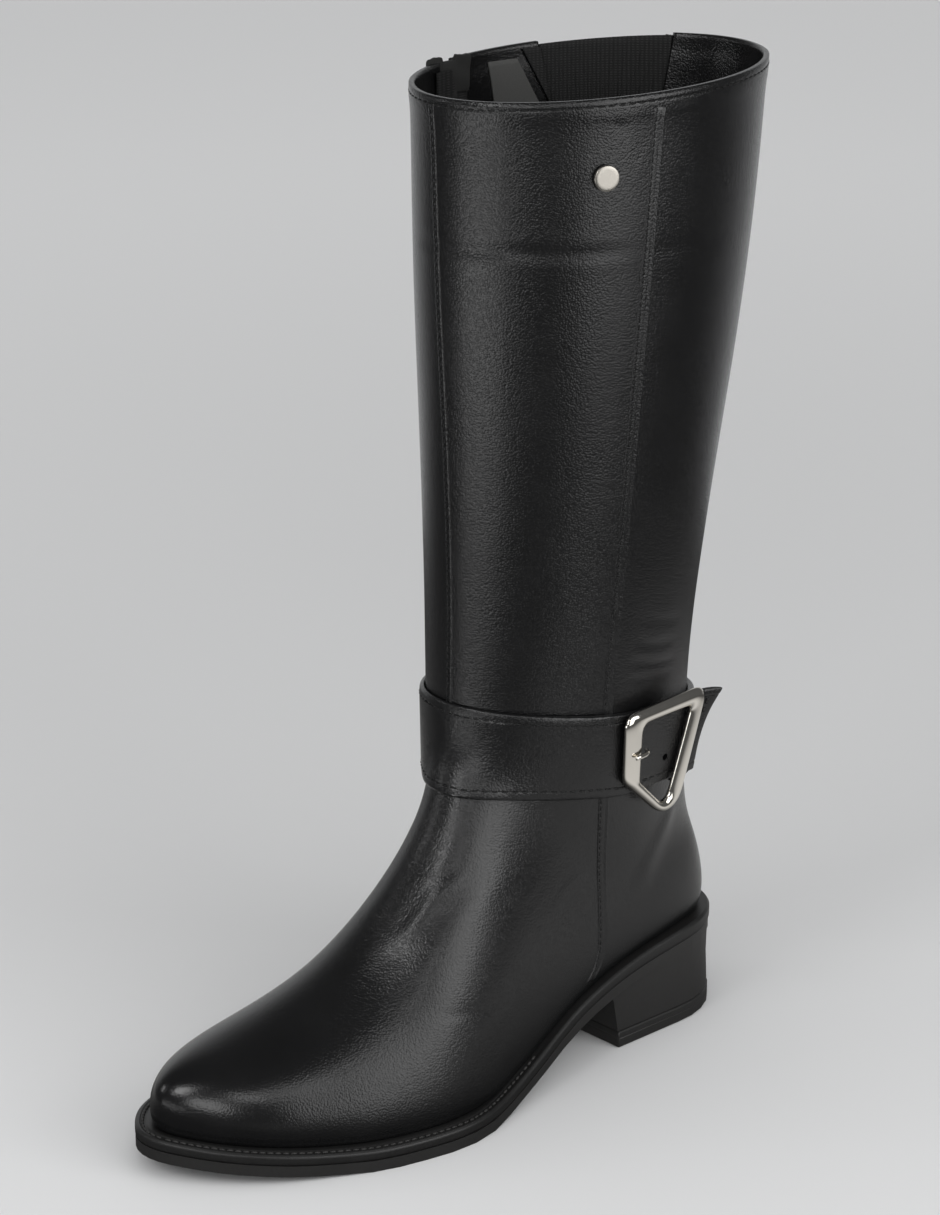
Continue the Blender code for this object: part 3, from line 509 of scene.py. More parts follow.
def thread_of(stitches):
    """The mesh of many stitches, made in small lots."""
    whole = bmesh.new()
    for first in range(0, len(stitches), 24):
        lot = bmesh.new()
        for stitch in stitches[first : first + 24]:
            bmesh.ops.create_uvsphere(lot, u_segments=8, v_segments=6, radius=1.0, matrix=stitch)
        lot_mesh = bpy.data.meshes.new("lot")
        lot.to_mesh(lot_mesh)
        lot.free()
        whole.from_mesh(lot_mesh)
        bpy.data.meshes.remove(lot_mesh)
    return whole


def traced(tree, starts, toward):
    """Where rays in one direction meet a surface, as places with normals."""
    row = []
    for start in starts:
        place, normal, _, _ = tree.ray_cast(start, toward)
        if place is not None:
            row.append((place, normal))
    return row


def thread(name, colour):
    """Waxed polyester thread."""
    finish, nodes, links, shader = new_finish(name)
    twist = shader_node(nodes, "TexWave", {"Scale": 900.0, "Distortion": 2.0}, bands_direction="DIAGONAL")
    links.new(nodes.new("ShaderNodeTexCoord").outputs["Object"], twist.inputs["Vector"])
    dark = tuple(c * 0.5 for c in colour)
    links.new(tinted(nodes, links, twist.outputs["Fac"], dark, colour), shader.inputs["Base Color"])
    bumped(nodes, links, shader, twist.outputs["Fac"], 0.5, 0.0001)
    shader.inputs["Roughness"].default_value = 0.55
    return finish


black_thread = thread("black_thread", (0.0022, 0.0022, 0.0022))
INWARD, BACKWARD = Vector((-1.0, 0.0, 0.0)), Vector((0.0, 1.0, 0.0))
ALONG_Y, ALONG_X = Vector((0.0, 1.0, 0.0)), Vector((1.0, 0.0, 0.0))
SIDE_PROFILE = (
    (-2.6, -0.25), (-2.3, 0.22), (-1.9, 0.34), (-1.5, 0.14), (-1.1, 0.34), (0.3, 0.28), (1.1, 0.30),
    (1.6, 0.66), (2.0, 0.66), (2.3, 0.25), (2.5, -0.25),
)
FRONT_PROFILE = (
    (-2.6, -0.25), (-2.2, 0.24), (-1.7, 0.34), (-1.3, 0.16), (-0.9, 0.38), (0.1, 0.42), (0.7, 0.30),
    (1.1, -0.25),
)
# Pitch, length and thickness of a stitch
SEAM_STITCH = (2.9 * MM, 2.1 * MM, 0.75 * MM)
seam_stitches = []
SEAMS = (
    ("shaft_side_seam", ALONG_Y, INWARD, SIDE_PROFILE, -1.5),
    ("vamp_side_seam", ALONG_Y, INWARD, SIDE_PROFILE, -1.5),
    ("shaft_front_seam", ALONG_X, BACKWARD, FRONT_PROFILE, -1.3),
)
for node, across, toward, profile, stitch_at in SEAMS:
    line = centre_line(node, 2.0 * MM)
    strip = laid_strip(line, across, toward, profile)
    strip_skin = BVHTree.FromBMesh(strip)
    starts = [point + across * stitch_at * MM - toward * 0.06 for point in line[1:-1]]
    sew(seam_stitches, traced(strip_skin, starts, toward), *SEAM_STITCH)
    walled(as_piece(strip, "strip_" + node, [calf], [node]), 0.4 * MM)
as_piece(thread_of(seam_stitches), "seam_stitches", [black_thread])

# Collar stitching
# The collar's turned edge is held by one row of black thread, sunk a little into the leather just
# below the rim.

COLLAR_STITCH = (3.9 * MM, 2.6 * MM, 0.7 * MM)
LEG_RADIUS = 0.055


def round_leg(tree, degrees, height_of):
    """Places and normals round the leg's outside; None where the leather is open."""
    row, far = [], 0.16
    for angle in degrees:
        way = Vector((math.sin(math.radians(angle)), -math.cos(math.radians(angle)), 0.0))
        y, found = LEG_AXIS_Y + way.y * LEG_RADIUS, None
        for _ in range(3):
            start = Vector((0.0, LEG_AXIS_Y, height_of(y))) + way * far
            place, normal, _, _ = tree.ray_cast(start, -way, far - 0.02)
            if place is None:
                found = None
                break
            y, found = place.y, (place, normal)
        row.append(found)
    return row


def unbroken(row):
    """The stretches of a row between its gaps."""
    runs = [[]]
    for point in row:
        if point is None:
            runs.append([])
        else:
            runs[-1].append(point)
    return [run for run in runs if len(run) > 2]


collar_row = round_leg(
    skin, range(-180, 181, 2), lambda y: COLLAR_ROW.z - COLLAR_TILT.y * (y - LEG_AXIS_Y)
)
collar_stitches = []
for stretch in unbroken(collar_row):
    sew(collar_stitches, stretch, *COLLAR_STITCH)
as_piece(thread_of(collar_stitches), "collar_stitches", [black_thread])

# Ankle strap
# A strap of two leather layers, edges folded and sewn with a row along each side. The long part
# comes round the front and ends in a cut tail past the buckle; the other runs round the heel.

STRAP_STITCH = (3.9 * MM, 2.5 * MM, 0.75 * MM)
STRAP_SEAT = 0.15 * MM
STRAP_FREE = 1.6 * MM
STRAP_THICK = 1.5 * MM
STRAP_SKIVED_Y = -0.055
STRAP_HOLE = Vector((0.04006, -0.02205, 0.1209))
STRAP_HOLE_AXIS = Vector((0.993, 0.05, -0.109))


def sat_on_leather(shape):
    """Lays a strap's inner face on the leather and keeps its outer face above it."""
    shape.normal_update()
    moves = []
    for vert in shape.verts:
        place, normal, _, _ = skin.find_nearest(vert.co)
        height = (vert.co - place).dot(normal)
        front = min(max((STRAP_SKIVED_Y - vert.co.y) / 0.03, 0.0), 1.0)
        if vert.normal.dot(normal) > 0.0:
            moves.append(normal * (max(height - 0.8 * MM * front, STRAP_THICK) - height))
        elif height < STRAP_FREE:
            moves.append(normal * (STRAP_SEAT - height))
        else:
            moves.append(Vector())
    for vert, move in zip(shape.verts, moves):
        vert.co += move


def soft_edges(shape, offset, angle=50.0):
    """Bevels the sharp edges of a mesh once, to hold them when it is subdivided."""
    sharp = [e for e in shape.edges if e.is_manifold and e.calc_face_angle() > math.radians(angle)]
    bmesh.ops.bevel(
        shape,
        geom=sharp,
        offset=offset,
        affect="EDGES",
        segments=1,
        profile=0.5,
        material=-1,
        clamp_overlap=True,
    )


STRAP_LEVEL, STRAP_LEVEL_Y, STRAP_FALL = 0.129, -0.053, 0.134
STRAP_HALF, STRAP_MARGIN = 17.0 * MM, 3.6 * MM
STRAP_ROWS = (STRAP_MARGIN - STRAP_HALF, STRAP_HALF - STRAP_MARGIN)
TAIL_Y = -0.0435
TAIL_LEVEL = STRAP_LEVEL - STRAP_FALL * (TAIL_Y - STRAP_LEVEL_Y)
STRAP_TILT = Vector((0.0, STRAP_FALL, 1.0))


def strap_height(rise):
    return lambda y: STRAP_LEVEL - STRAP_FALL * (y - STRAP_LEVEL_Y) + rise


def outer_side(vert):
    return vert.normal.x * vert.co.x + vert.normal.y * (vert.co.y - LEG_AXIS_Y) > 0.3 * vert.co.xy.length


def bored(shape, place, axis, radius):
    """The shape with a round hole through it."""
    blocks = []
    cutter = bmesh.new()
    turn = axis.to_track_quat("Z", "Y").to_matrix().to_4x4()
    bmesh.ops.create_cone(
        cutter,
        cap_ends=True,
        segments=20,
        radius1=radius,
        radius2=radius,
        depth=14.0 * MM,
        matrix=Matrix.Translation(place) @ turn,
    )
    for solid in (shape, cutter):
        mesh = bpy.data.meshes.new("bore")
        solid.to_mesh(mesh)
        blocks.append(placed("bore", mesh))
    cutter.free()
    cut = blocks[0].modifiers.new("cut", "BOOLEAN")
    cut.operation = "DIFFERENCE"
    cut.solver = "EXACT"
    cut.object = blocks[1]
    done = bpy.data.meshes.new_from_object(blocks[0].evaluated_get(bpy.context.evaluated_depsgraph_get()))
    shape.clear()
    shape.from_mesh(done)
    for block in blocks:
        bpy.data.objects.remove(block)


strap_leather = leather("strap_calf", pebbles=1300.0, strength=0.54, roughness=(0.22, 0.30))
strap_skins = {}
for node in ("ankle_strap", "back_strap"):
    strap = copied(node)
    sat_on_leather(strap)
    soft_edges(strap, 0.55 * MM)
    smoothed(strap, 2)
    strap.normal_update()
    flat = [v for v in strap.verts if min(f.normal.dot(v.normal) for f in v.link_faces) > 0.97]
    evened(strap, flat, 110)
    eased(strap, [vert for vert in flat if vert.co.y < STRAP_SKIVED_Y], 12)
    for rise in STRAP_ROWS:
        band = [f for f in strap.faces if node == "back_strap" or f.calc_center_median().y < TAIL_Y]
        row_spot = Vector((0.0, STRAP_LEVEL_Y, STRAP_LEVEL + rise))
        furrowed(strap, band, row_spot, STRAP_TILT, 0.18 * MM, outer_side)
        if node == "ankle_strap":
            tail = [f for f in strap.faces if f.calc_center_median().y >= TAIL_Y]
            tail_spot = Vector((0.0, 0.0, TAIL_LEVEL + rise))
            furrowed(strap, tail, tail_spot, Vector((0.0, 0.0, 1.0)), 0.18 * MM, outer_side)
    if node == "ankle_strap":
        bored(strap, STRAP_HOLE, STRAP_HOLE_AXIS, 1.4 * MM)
    strap_skins[node] = BVHTree.FromBMesh(strap)
    as_piece(strap, "sewn_" + node, [strap_leather], [node], sharp=50.0)

strap_stitches, tail_ends = [], []
front_strap, heel_strap = strap_skins["ankle_strap"], strap_skins["back_strap"]
for rise in STRAP_ROWS:
    front_row = round_leg(front_strap, range(-60, 83, 2), strap_height(rise))
    tail_starts = [Vector((0.09, TAIL_Y + k * MM, TAIL_LEVEL + rise)) for k in range(1, 60)]
    tail_row = traced(front_strap, tail_starts, INWARD)[:-5]
    heel_row = round_leg(heel_strap, range(-84, -238, -2), strap_height(rise))
    for stretch in unbroken(front_row + tail_row) + unbroken(heel_row):
        sew(strap_stitches, stretch, *STRAP_STITCH)
    tail_ends.append(tail_row[-1][0])
low_end, high_end = tail_ends
end_starts = [low_end.lerp(high_end, k / 30) + Vector((0.04, 0.0, 0.0)) for k in range(1, 30)]
sew(strap_stitches, traced(front_strap, end_starts, INWARD), *STRAP_STITCH)
as_piece(thread_of(strap_stitches), "strap_stitches", [black_thread])

# Buckle and prong
# A cast frame of four uneven sides in bright nickel, with broad rounded bars. The short prong is
# hinged on the strap and rests on the front bar.


def nickel(name, colour=(0.90, 0.86, 0.79), roughness=(0.06, 0.16)):
    """Polished nickel plate with faint wiping marks."""
    finish, nodes, links, shader = new_finish(name)
    wipe = noise(nodes, links, 260.0, 5.0)
    dark = tuple(c * 0.93 for c in colour)
    links.new(tinted(nodes, links, wipe, dark, colour), shader.inputs["Base Color"])
    links.new(ranged(nodes, links, wipe, *roughness), shader.inputs["Roughness"])
    bumped(nodes, links, shader, wipe, 0.05, 0.0001)
    shader.inputs["Metallic"].default_value = 1.0
    return finish


bright_nickel = nickel("bright_nickel_plate")


def evenly_cut(shape, longest):
    """Cuts long edges so that subdivision keeps straight bars straight."""
    long_edges = [e for e in shape.edges if e.calc_length() > longest]
    bmesh.ops.subdivide_edges(shape, edges=long_edges, cuts=5, use_grid_fill=True)


buckle = copied("buckle_frame")
evenly_cut(buckle, 12.0 * MM)
smoothed(buckle, 2)
eased(buckle, buckle.verts, 7)
buckle.normal_update()
for vert in buckle.verts:
    vert.co += vert.normal * 0.3 * MM
as_piece(buckle, "cast_buckle", [bright_nickel], ["buckle_frame"])
prong = copied("buckle_prong")
as_piece(smoothed(prong, 1), "hinged_prong", [bright_nickel], ["buckle_prong"])

# Collar stud
# A nickel rivet head set through the outer front panel below the collar.

stud = copied("collar_stud")
stud_middle = sum((vert.co for vert in stud.verts), Vector()) / len(stud.verts)
stud_seat, stud_out, _, _ = skin.find_nearest(stud_middle)
stud_top = max((vert.co - stud_seat).dot(stud_out) for vert in stud.verts)
for vert in stud.verts:
    above = (vert.co - stud_seat).dot(stud_out) - 0.72 * stud_top
    if above > 0.0:
        vert.co -= stud_out * above
stud_edge = stud.edges.layers.float.new("crease_edge")
for edge in stud.edges:
    if edge.calc_face_angle(0.0) > math.radians(24.0):
        edge[stud_edge] = 0.75
satin_nickel = nickel("satin_nickel_plate", (0.50, 0.475, 0.43), (0.30, 0.40))
as_piece(smoothed(stud, 2), "rivet_head", [satin_nickel], ["collar_stud"])

# Elastic gore
# Ribbed black elastic webbing let into a notch of the collar at the inner back, so that the shaft
# can stretch over the calf. Fine ribs run up and down.

GORE_MIDDLE = Vector((-0.0398, 0.0185, 0.0))
GORE_ALONG = Vector((0.503, 0.864, 0.0)).normalized()
GORE_FOOT, GORE_TOP = 0.2824, 0.380
GORE_FOOT_HALF, GORE_TOP_HALF = 9.2 * MM, 27.2 * MM
GORE_RIBS, GORE_ROWS = 40, 46


def webbing(name, turn, ribs_per_metre):
    """Woven elastic: ribs one way, yarns across them."""
    finish, nodes, links, shader = new_finish(name)
    turned = shader_node(nodes, "Mapping", {"Rotation": (0.0, 0.0, turn)})
    ribs = shader_node(nodes, "TexWave", {"Scale": ribs_per_metre / 3.18}, bands_direction="X")
    yarns = shader_node(nodes, "TexWave", {"Scale": 330.0, "Distortion": 0.6}, bands_direction="Z")
    links.new(nodes.new("ShaderNodeTexCoord").outputs["Object"], turned.inputs["Vector"])
    for wave in (ribs, yarns):
        links.new(turned.outputs["Vector"], wave.inputs["Vector"])
    woven = product(nodes, links, ribs.outputs["Fac"], yarns.outputs["Fac"])
    colour = tinted(nodes, links, woven, (0.004, 0.004, 0.004), (0.022, 0.022, 0.022))
    links.new(colour, shader.inputs["Base Color"])
    bumped(nodes, links, shader, woven, 0.6, 0.0003)
    shader.inputs["Roughness"].default_value = 0.85
    return finish


gore_skin = BVHTree.FromBMesh(copied("elastic_gore"))
gore_out = GORE_ALONG.cross(Vector((0.0, 0.0, -1.0)))
if gore_out.dot(GORE_MIDDLE - Vector((0.0, LEG_AXIS_Y, 0.0))) < 0.0:
    gore_out.negate()
gore = bmesh.new()
GORE_COLUMNS = GORE_RIBS * 4
bmesh.ops.create_grid(gore, x_segments=GORE_COLUMNS, y_segments=GORE_ROWS, size=1.0)
for vert in gore.verts:
    share = (vert.co.y + 1.0) / 2.0
    rib = math.cos((vert.co.x + 1.0) / 2.0 * GORE_RIBS * 2.0 * math.pi)
    half = GORE_FOOT_HALF + (GORE_TOP_HALF - GORE_FOOT_HALF) * share
    spot = GORE_MIDDLE + GORE_ALONG * half * vert.co.x
    spot.z = GORE_FOOT + (GORE_TOP - GORE_FOOT) * share
    place, normal, _, _ = gore_skin.ray_cast(spot + gore_out * 0.05, -gore_out)
    if place is None:
        place, normal, _, _ = gore_skin.find_nearest(spot)
    rise = max(share - 0.9, 0.0) / 0.1 * (vert.co.x + 1.0) / 2.0
    vert.co = place + gore_out * (rib * 0.08 - 0.25) * MM
    vert.co.z += rise * 2.3 * MM
gore.normal_update()
gore.faces.ensure_lookup_table()
if gore.faces[0].normal.dot(gore_out) < 0.0:
    bmesh.ops.reverse_faces(gore, faces=gore.faces)
elastic = webbing("black_elastic", -math.atan2(GORE_ALONG.y, GORE_ALONG.x), 600.0)
walled(as_piece(gore, "ribbed_gore", [elastic], ["elastic_gore"]), 1.1 * MM)

# Collar facing
# Inside the collar the elastic's margin is sewn over the leather, and beside it a panel of grey
# cloth faces the inner side down from the rim.

FACING_TOP, FACING_FOOT, MARGIN_FOOT = 0.3793, 0.300, 0.353
FACING_DROP, FACING_GAP = 3.6 * MM, 4.2 * MM


def notch_edge(z):
    return -0.0048 + (0.38 - z) * 0.159


def margin_edge(z):
    return min(-0.0130 + (FACING_TOP - z) * 0.53, notch_edge(z))


def inside_patch(columns, rows, foot, top, left, right, inset):
    """A cloth panel laid on the inner side of the shaft's inner wall."""
    patch = bmesh.new()
    bmesh.ops.create_grid(patch, x_segments=columns, y_segments=rows, size=1.0)
    for vert in patch.verts:
        z = foot + (top - foot) * (vert.co.y + 1.0) / 2.0
        y = left(z) + (right(z) - left(z)) * (vert.co.x + 1.0) / 2.0
        place, normal, _, _ = skin.ray_cast(Vector((-0.02, y, z)), INWARD)
        if place is None or place.x < -0.06:
            place, normal, _, _ = skin.find_nearest(Vector((-0.045, y, z)))
        vert.co = place + Vector((inset, 0.0, 0.0))
    patch.normal_update()
    if sum(face.normal.x for face in patch.faces) < 0.0:
        bmesh.ops.reverse_faces(patch, faces=patch.faces)
    return patch


grey_facing = cloth("grey_facing", 0.040, 0.075)
facing_shape = inside_patch(
    24,
    40,
    FACING_FOOT,
    FACING_TOP - FACING_DROP,
    lambda z: -0.0300 + (FACING_TOP - z) * 0.16,
    lambda z: margin_edge(z) - FACING_GAP,
    0.5 * MM,
)
margin_shape = inside_patch(12, 16, MARGIN_FOOT, FACING_TOP, margin_edge, notch_edge, 1.0 * MM)
for shape, name, finish, slot in (
    (facing_shape, "collar_facing", grey_facing, "insole_board"),
    (margin_shape, "gore_margin", elastic, "black_webbing"),
):
    walled(as_piece(shape, name, [finish]), 0.5 * MM)

# Zip
# A nylon coil zip on black tape, set in a slot on the inner side from the collar to the ankle.
# Its nickel slider rests near the collar with the pull tab hanging from a pin.

ZIP_Y = -0.053
TOOTH_PITCH = 1.5 * MM


def nylon(name):
    """Satin black nylon."""
    finish, nodes, links, shader = new_finish(name)
    speck = noise(nodes, links, 1500.0)
    colour = tinted(nodes, links, speck, (0.008, 0.008, 0.008), (0.018, 0.018, 0.018))
    links.new(colour, shader.inputs["Base Color"])
    links.new(ranged(nodes, links, speck, 0.32, 0.48), shader.inputs["Roughness"])
    return finish


coil_nylon = nylon("coil_nylon")
tape_finish = webbing("black_zip_tape", 0.0, 900.0)
for node, finish in (("zip_tape", tape_finish), ("zip_chain", coil_nylon)):
    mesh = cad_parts[node].data
    mesh.materials.clear()
    mesh.materials.append(finish)
chain_skin = BVHTree.FromBMesh(copied("zip_chain"))
chain_low, chain_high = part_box("zip_chain")
slider_low, slider_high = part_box("zip_slider")
teeth = bmesh.new()
tooth_count = int((chain_high.z - chain_low.z - 2.0 * MM) / TOOTH_PITCH)
for k in range(tooth_count):
    z = chain_low.z + 1.0 * MM + k * TOOTH_PITCH
    if slider_low.z - 0.5 * MM < z < slider_high.z + 0.5 * MM:
        continue
    side = 1.0 if k % 2 else -1.0
    place, normal, _, _ = chain_skin.ray_cast(Vector((-0.12, ZIP_Y + side * 0.7 * MM, z)), -INWARD)
    if place is None:
        continue
    rise = normal.cross(ALONG_Y).normalized()
    axes = Matrix((ALONG_Y * 3.4 * MM, rise * 1.0 * MM, normal * 0.9 * MM)).transposed()
    bmesh.ops.create_cube(teeth, size=1.0, matrix=Matrix.Translation(place) @ axes.to_4x4())
bmesh.ops.bevel(
    teeth, geom=teeth.edges[:], offset=0.22 * MM, affect="EDGES", segments=1, profile=0.5, material=-1
)
as_piece(teeth, "zip_teeth", [coil_nylon], sharp=60.0)


def plain_faces(shape, degrees):
    """Joins the faces of a mesh that lie flat beside each other."""
    bmesh.ops.dissolve_limit(shape, angle_limit=math.radians(degrees), verts=shape.verts, edges=shape.edges)


def rounded(piece, width, degrees):
    """Rounds the sharp edges of a piece."""
    rounding = piece.modifiers.new("rounding", "BEVEL")
    rounding.width = width
    rounding.segments = 2
    rounding.limit_method = "ANGLE"
    rounding.angle_limit = math.radians(degrees)


for node, name, body in (("zip_slider", "cast_slider", "boot"), ("zip_pull", "stamped_pull", "pull_tab")):
    metal_part = copied(node)
    plain_faces(metal_part, 1.0)
    part = as_piece(metal_part, name, [bright_nickel], [node], body, sharp=40.0)
    rounded(part, 0.18 * MM, 40.0)

# The tape's upper ends are turned over and sewn down at the rim in three folds, with frayed tops.
ends_of_tape = bmesh.new()
for middle_y, wide, lean, rise in (
    (-0.0590, 7.4 * MM, 0.10, 0.3 * MM),
    (-0.0525, 7.0 * MM, 0.02, -1.4 * MM),
    (-0.0462, 7.6 * MM, -0.08, 0.5 * MM),
):
    block = Matrix.Translation((-0.0492, middle_y, 0.3735 + rise)) @ Matrix.Rotation(lean, 4, "X")
    size = Matrix.Diagonal((1.9 * MM, wide, 14.0 * MM, 1.0))
    made = bmesh.ops.create_cube(ends_of_tape, size=1.0, matrix=block @ size)
    sides = list({edge for vert in made["verts"] for edge in vert.link_edges})
    bmesh.ops.subdivide_edges(ends_of_tape, edges=sides, cuts=5, use_grid_fill=True)
for vert in ends_of_tape.verts:
    fray = math.sin(vert.co.y * 2900.0) + 0.6 * math.sin(vert.co.y * 6100.0 + 1.3)
    if vert.co.z > 0.3795:
        vert.co.z += fray * 0.35 * MM
    vert.co.x += math.sin(vert.co.z * 700.0 + vert.co.y * 300.0) * 0.25 * MM
divided(as_piece(ends_of_tape, "zip_tape_ends", [lining]), 1)

# Insole
# A board faced with dark cloth, seen only down the shaft.

insole = copied("insole")
soft_edges(insole, 0.4 * MM)
as_piece(smoothed(insole, 1), "faced_insole", [lining], ["insole"])

# Welt
# The strip round the foot that closes the upper: leather board with a groove along its top, a row
# of waxed stitches sunk in the groove, and a smooth burnished edge.

GROOVE = ((1.7, 0.0), (2.0, -0.45), (2.9, -0.65), (3.9, -0.45), (4.4, -0.10))
FOREPART_Y = -0.088
WELT_STITCH = (2.9 * MM, 2.4 * MM, 1.15 * MM)


def sole_stuff(name, dark, light, roughness):
    """Dense black sole stuff with a faint moulded speckle."""
    finish, nodes, links, shader = new_finish(name)
    speck = noise(nodes, links, 700.0, 4.0)
    cloud = noise(nodes, links, 60.0)
    links.new(tinted(nodes, links, speck, dark, light), shader.inputs["Base Color"])
    links.new(ranged(nodes, links, cloud, *roughness), shader.inputs["Roughness"])
    bumped(nodes, links, shader, speck, 0.12, 0.0002)
    return finish


edge_stuff = sole_stuff("welt_edge", (0.006, 0.006, 0.006), (0.013, 0.0127, 0.0124), (0.34, 0.48))
heel_stuff = sole_stuff("moulded_sole", (0.012, 0.0118, 0.0116), (0.020, 0.0195, 0.019), (0.36, 0.48))

plain_welt = copied("welt")
welt_spots = [vert.co.copy() for vert in plain_welt.verts]
plain_welt.free()


def upright(spot):
    """All points of the welt above and below one place, from the lowest up."""
    return sorted((p for p in welt_spots if (p.xy - spot.xy).length < 0.05 * MM), key=lambda p: p.z)


shoulders = [spot for spot in welt_spots if len(upright(spot)) == 1]
rims = [upright(spot) for spot in welt_spots if len(upright(spot)) == 2]
centre = sum(shoulders, Vector()) / len(shoulders)
shoulders.sort(key=lambda p: math.atan2(p.x - centre.x, p.y - centre.y))
sections, groove_middle = [], []
for shoulder in shoulders:
    outer = min(rims, key=lambda rim: (rim[0].xy - shoulder.xy).length)
    way = (shoulder.xy - outer[0].xy).normalized().to_3d()
    inner = min(rims, key=lambda rim: (rim[0].xy - shoulder.xy - way.xy * 13.1 * MM).length)
    sewn = min(max((FOREPART_Y - shoulder.y) / 0.02 + 0.5, 0.0), 1.0)
    groove = []
    for inset, depth in GROOVE:
        groove.append(shoulder + way * (inset - 0.9) * MM + Vector((0.0, 0.0, depth * sewn * MM)))
    sections.append([outer[0], outer[1], shoulder, *groove, inner[1], inner[0], outer[0]])
    groove_middle.append(groove[2])
welt = bmesh.new()
bmesh.ops.create_grid(welt, x_segments=len(sections), y_segments=len(sections[0]) - 1, size=1.0)
for vert in welt.verts:
    station = round((vert.co.x + 1.0) / 2.0 * len(sections)) % len(sections)
    vert.co = sections[station][round((vert.co.y + 1.0) / 2.0 * (len(sections[0]) - 1))]
bmesh.ops.remove_doubles(welt, verts=welt.verts, dist=1e-6)
bmesh.ops.recalc_face_normals(welt, faces=welt.faces)
crease = welt.edges.layers.float.new("crease_edge")
for edge in welt.edges:
    if edge.is_manifold and edge.calc_face_angle() > math.radians(22.0):
        edge[crease] = 0.6
smoothed(welt, 2)
welt_skin = BVHTree.FromBMesh(welt)
as_piece(welt, "grooved_welt", [edge_stuff], ["welt"])

ring = groove_middle + groove_middle[:1]
starts = []
for here, there in zip(ring, ring[1:]):
    count = max(round((there - here).length / (1.0 * MM)), 1)
    starts += [here.lerp(there, k / count) + Vector((0.0, 0.0, 0.02)) for k in range(count)]
welt_stitches = []
fore_starts = [start if start.y < FOREPART_Y else None for start in starts]
for stretch in unbroken(fore_starts):
    sew(welt_stitches, traced(welt_skin, stretch, Vector((0.0, 0.0, -1.0))), *WELT_STITCH)
welt_thread = thread("waxed_thread", (0.035, 0.034, 0.033))
as_piece(thread_of(welt_stitches), "welt_stitches", [welt_thread])

# Outsole and top lift
# A moulded black unit of forepart, waist and heel block, with a separate lift under the heel that
# wears on the floor. A thin groove runs round the lift.

HEEL_FRONT_Y, FLUSH = -0.050, 0.45 * MM
LIFT_GROOVE_Z = 0.0042
for node, name in (("outsole", "moulded_outsole"), ("top_lift", "heel_lift")):
    moulding = copied(node)
    plain_faces(moulding, 0.5)
    if node == "outsole":
        moulding.normal_update()
        for vert in moulding.verts:
            outward = Vector((vert.normal.x, vert.normal.y, 0.0))
            if vert.co.y < HEEL_FRONT_Y and outward.length > 0.2:
                vert.co += outward.normalized() * FLUSH
            if vert.normal.z > 0.2:
                vert.co.z += 0.25 * MM
    else:
        for shift in (-0.3 * MM, 0.0, 0.3 * MM):
            bmesh.ops.bisect_plane(
                moulding,
                geom=moulding.verts[:] + moulding.edges[:] + moulding.faces[:],
                plane_co=(0.0, 0.0, LIFT_GROOVE_Z + shift),
                plane_no=(0.0, 0.0, 1.0),
            )
        middle = Vector((0.0, -0.002, LIFT_GROOVE_Z))
        for vert in moulding.verts:
            if abs(vert.co.z - LIFT_GROOVE_Z) < 1e-6:
                vert.co = vert.co.lerp(middle, 0.35 * MM / (vert.co - middle).length)
    rounded(as_piece(moulding, name, [heel_stuff], [node], sharp=30.0), 0.5 * MM, 50.0)

# Camera and studio
# The boot stands on a pale seamless floor under wide soft lamps, seen from its front outer side.

AZIMUTH, ELEVATION = math.radians(48.0), math.radians(18.4)
EYE = Vector((0.8858, -0.8837, 0.5819))
LENS = 100.07

backward = Vector(
    (
        math.sin(AZIMUTH) * math.cos(ELEVATION),
        -math.cos(AZIMUTH) * math.cos(ELEVATION),
        math.sin(ELEVATION),
    )
)


def aimed(thing, place, way):
    """Stands a camera or lamp at a place and turns it to look along a way."""
    thing.location = place
    thing.rotation_mode = "QUATERNION"
    thing.rotation_quaternion = way.to_track_quat("-Z", "Y")


camera = placed("camera", bpy.data.cameras.new("camera"))
camera.data.sensor_width = 36.0
camera.data.lens = LENS
aimed(camera, EYE, -backward)
bpy.context.scene.camera = camera


def studio_floor():
    finish, nodes, links, shader = new_finish("seamless_paper_painted_shade")
    # Painted shading: the paper is coloured darker near the boot and paler far off, graded to the lamps'
    # light, which is stronger close to the boot
    reach = shader_node(nodes, "VectorMath", {1: (-0.24, 0.24, 0.0)}, operation="DISTANCE")
    links.new(nodes.new("ShaderNodeTexCoord").outputs["Object"], reach.inputs[0])
    painted_shade_sweep = ranged(nodes, links, reach.outputs["Value"], 0.0, 1.0, (0.0, 1.6))
    colour = tinted(nodes, links, painted_shade_sweep, (0.655, 0.658, 0.662), (0.84, 0.843, 0.848))
    links.new(colour, shader.inputs["Base Color"])
    shader.inputs["Roughness"].default_value = 0.9
    return finish


def laid_down(shape, name, finish):
    """Puts a sheet of the studio's floor into the scene."""
    mesh = bpy.data.meshes.new(name)
    shape.to_mesh(mesh)
    shape.free()
    mesh.materials.append(finish)
    return placed(name, mesh)


ground = bmesh.new()
bmesh.ops.create_grid(ground, x_segments=4, y_segments=4, size=9.0)
floor = laid_down(ground, "studio_floor", studio_floor())


def soft_lamp(name, place, aim, width, height, power):
    lamp = bpy.data.lights.new(name, "AREA")
    lamp.shape = "RECTANGLE"
    lamp.size = width
    lamp.size_y = height
    lamp.energy = power
    holder = placed(name, lamp)
    aimed(holder, place, Vector(aim) - Vector(place))
    holder.visible_camera = False


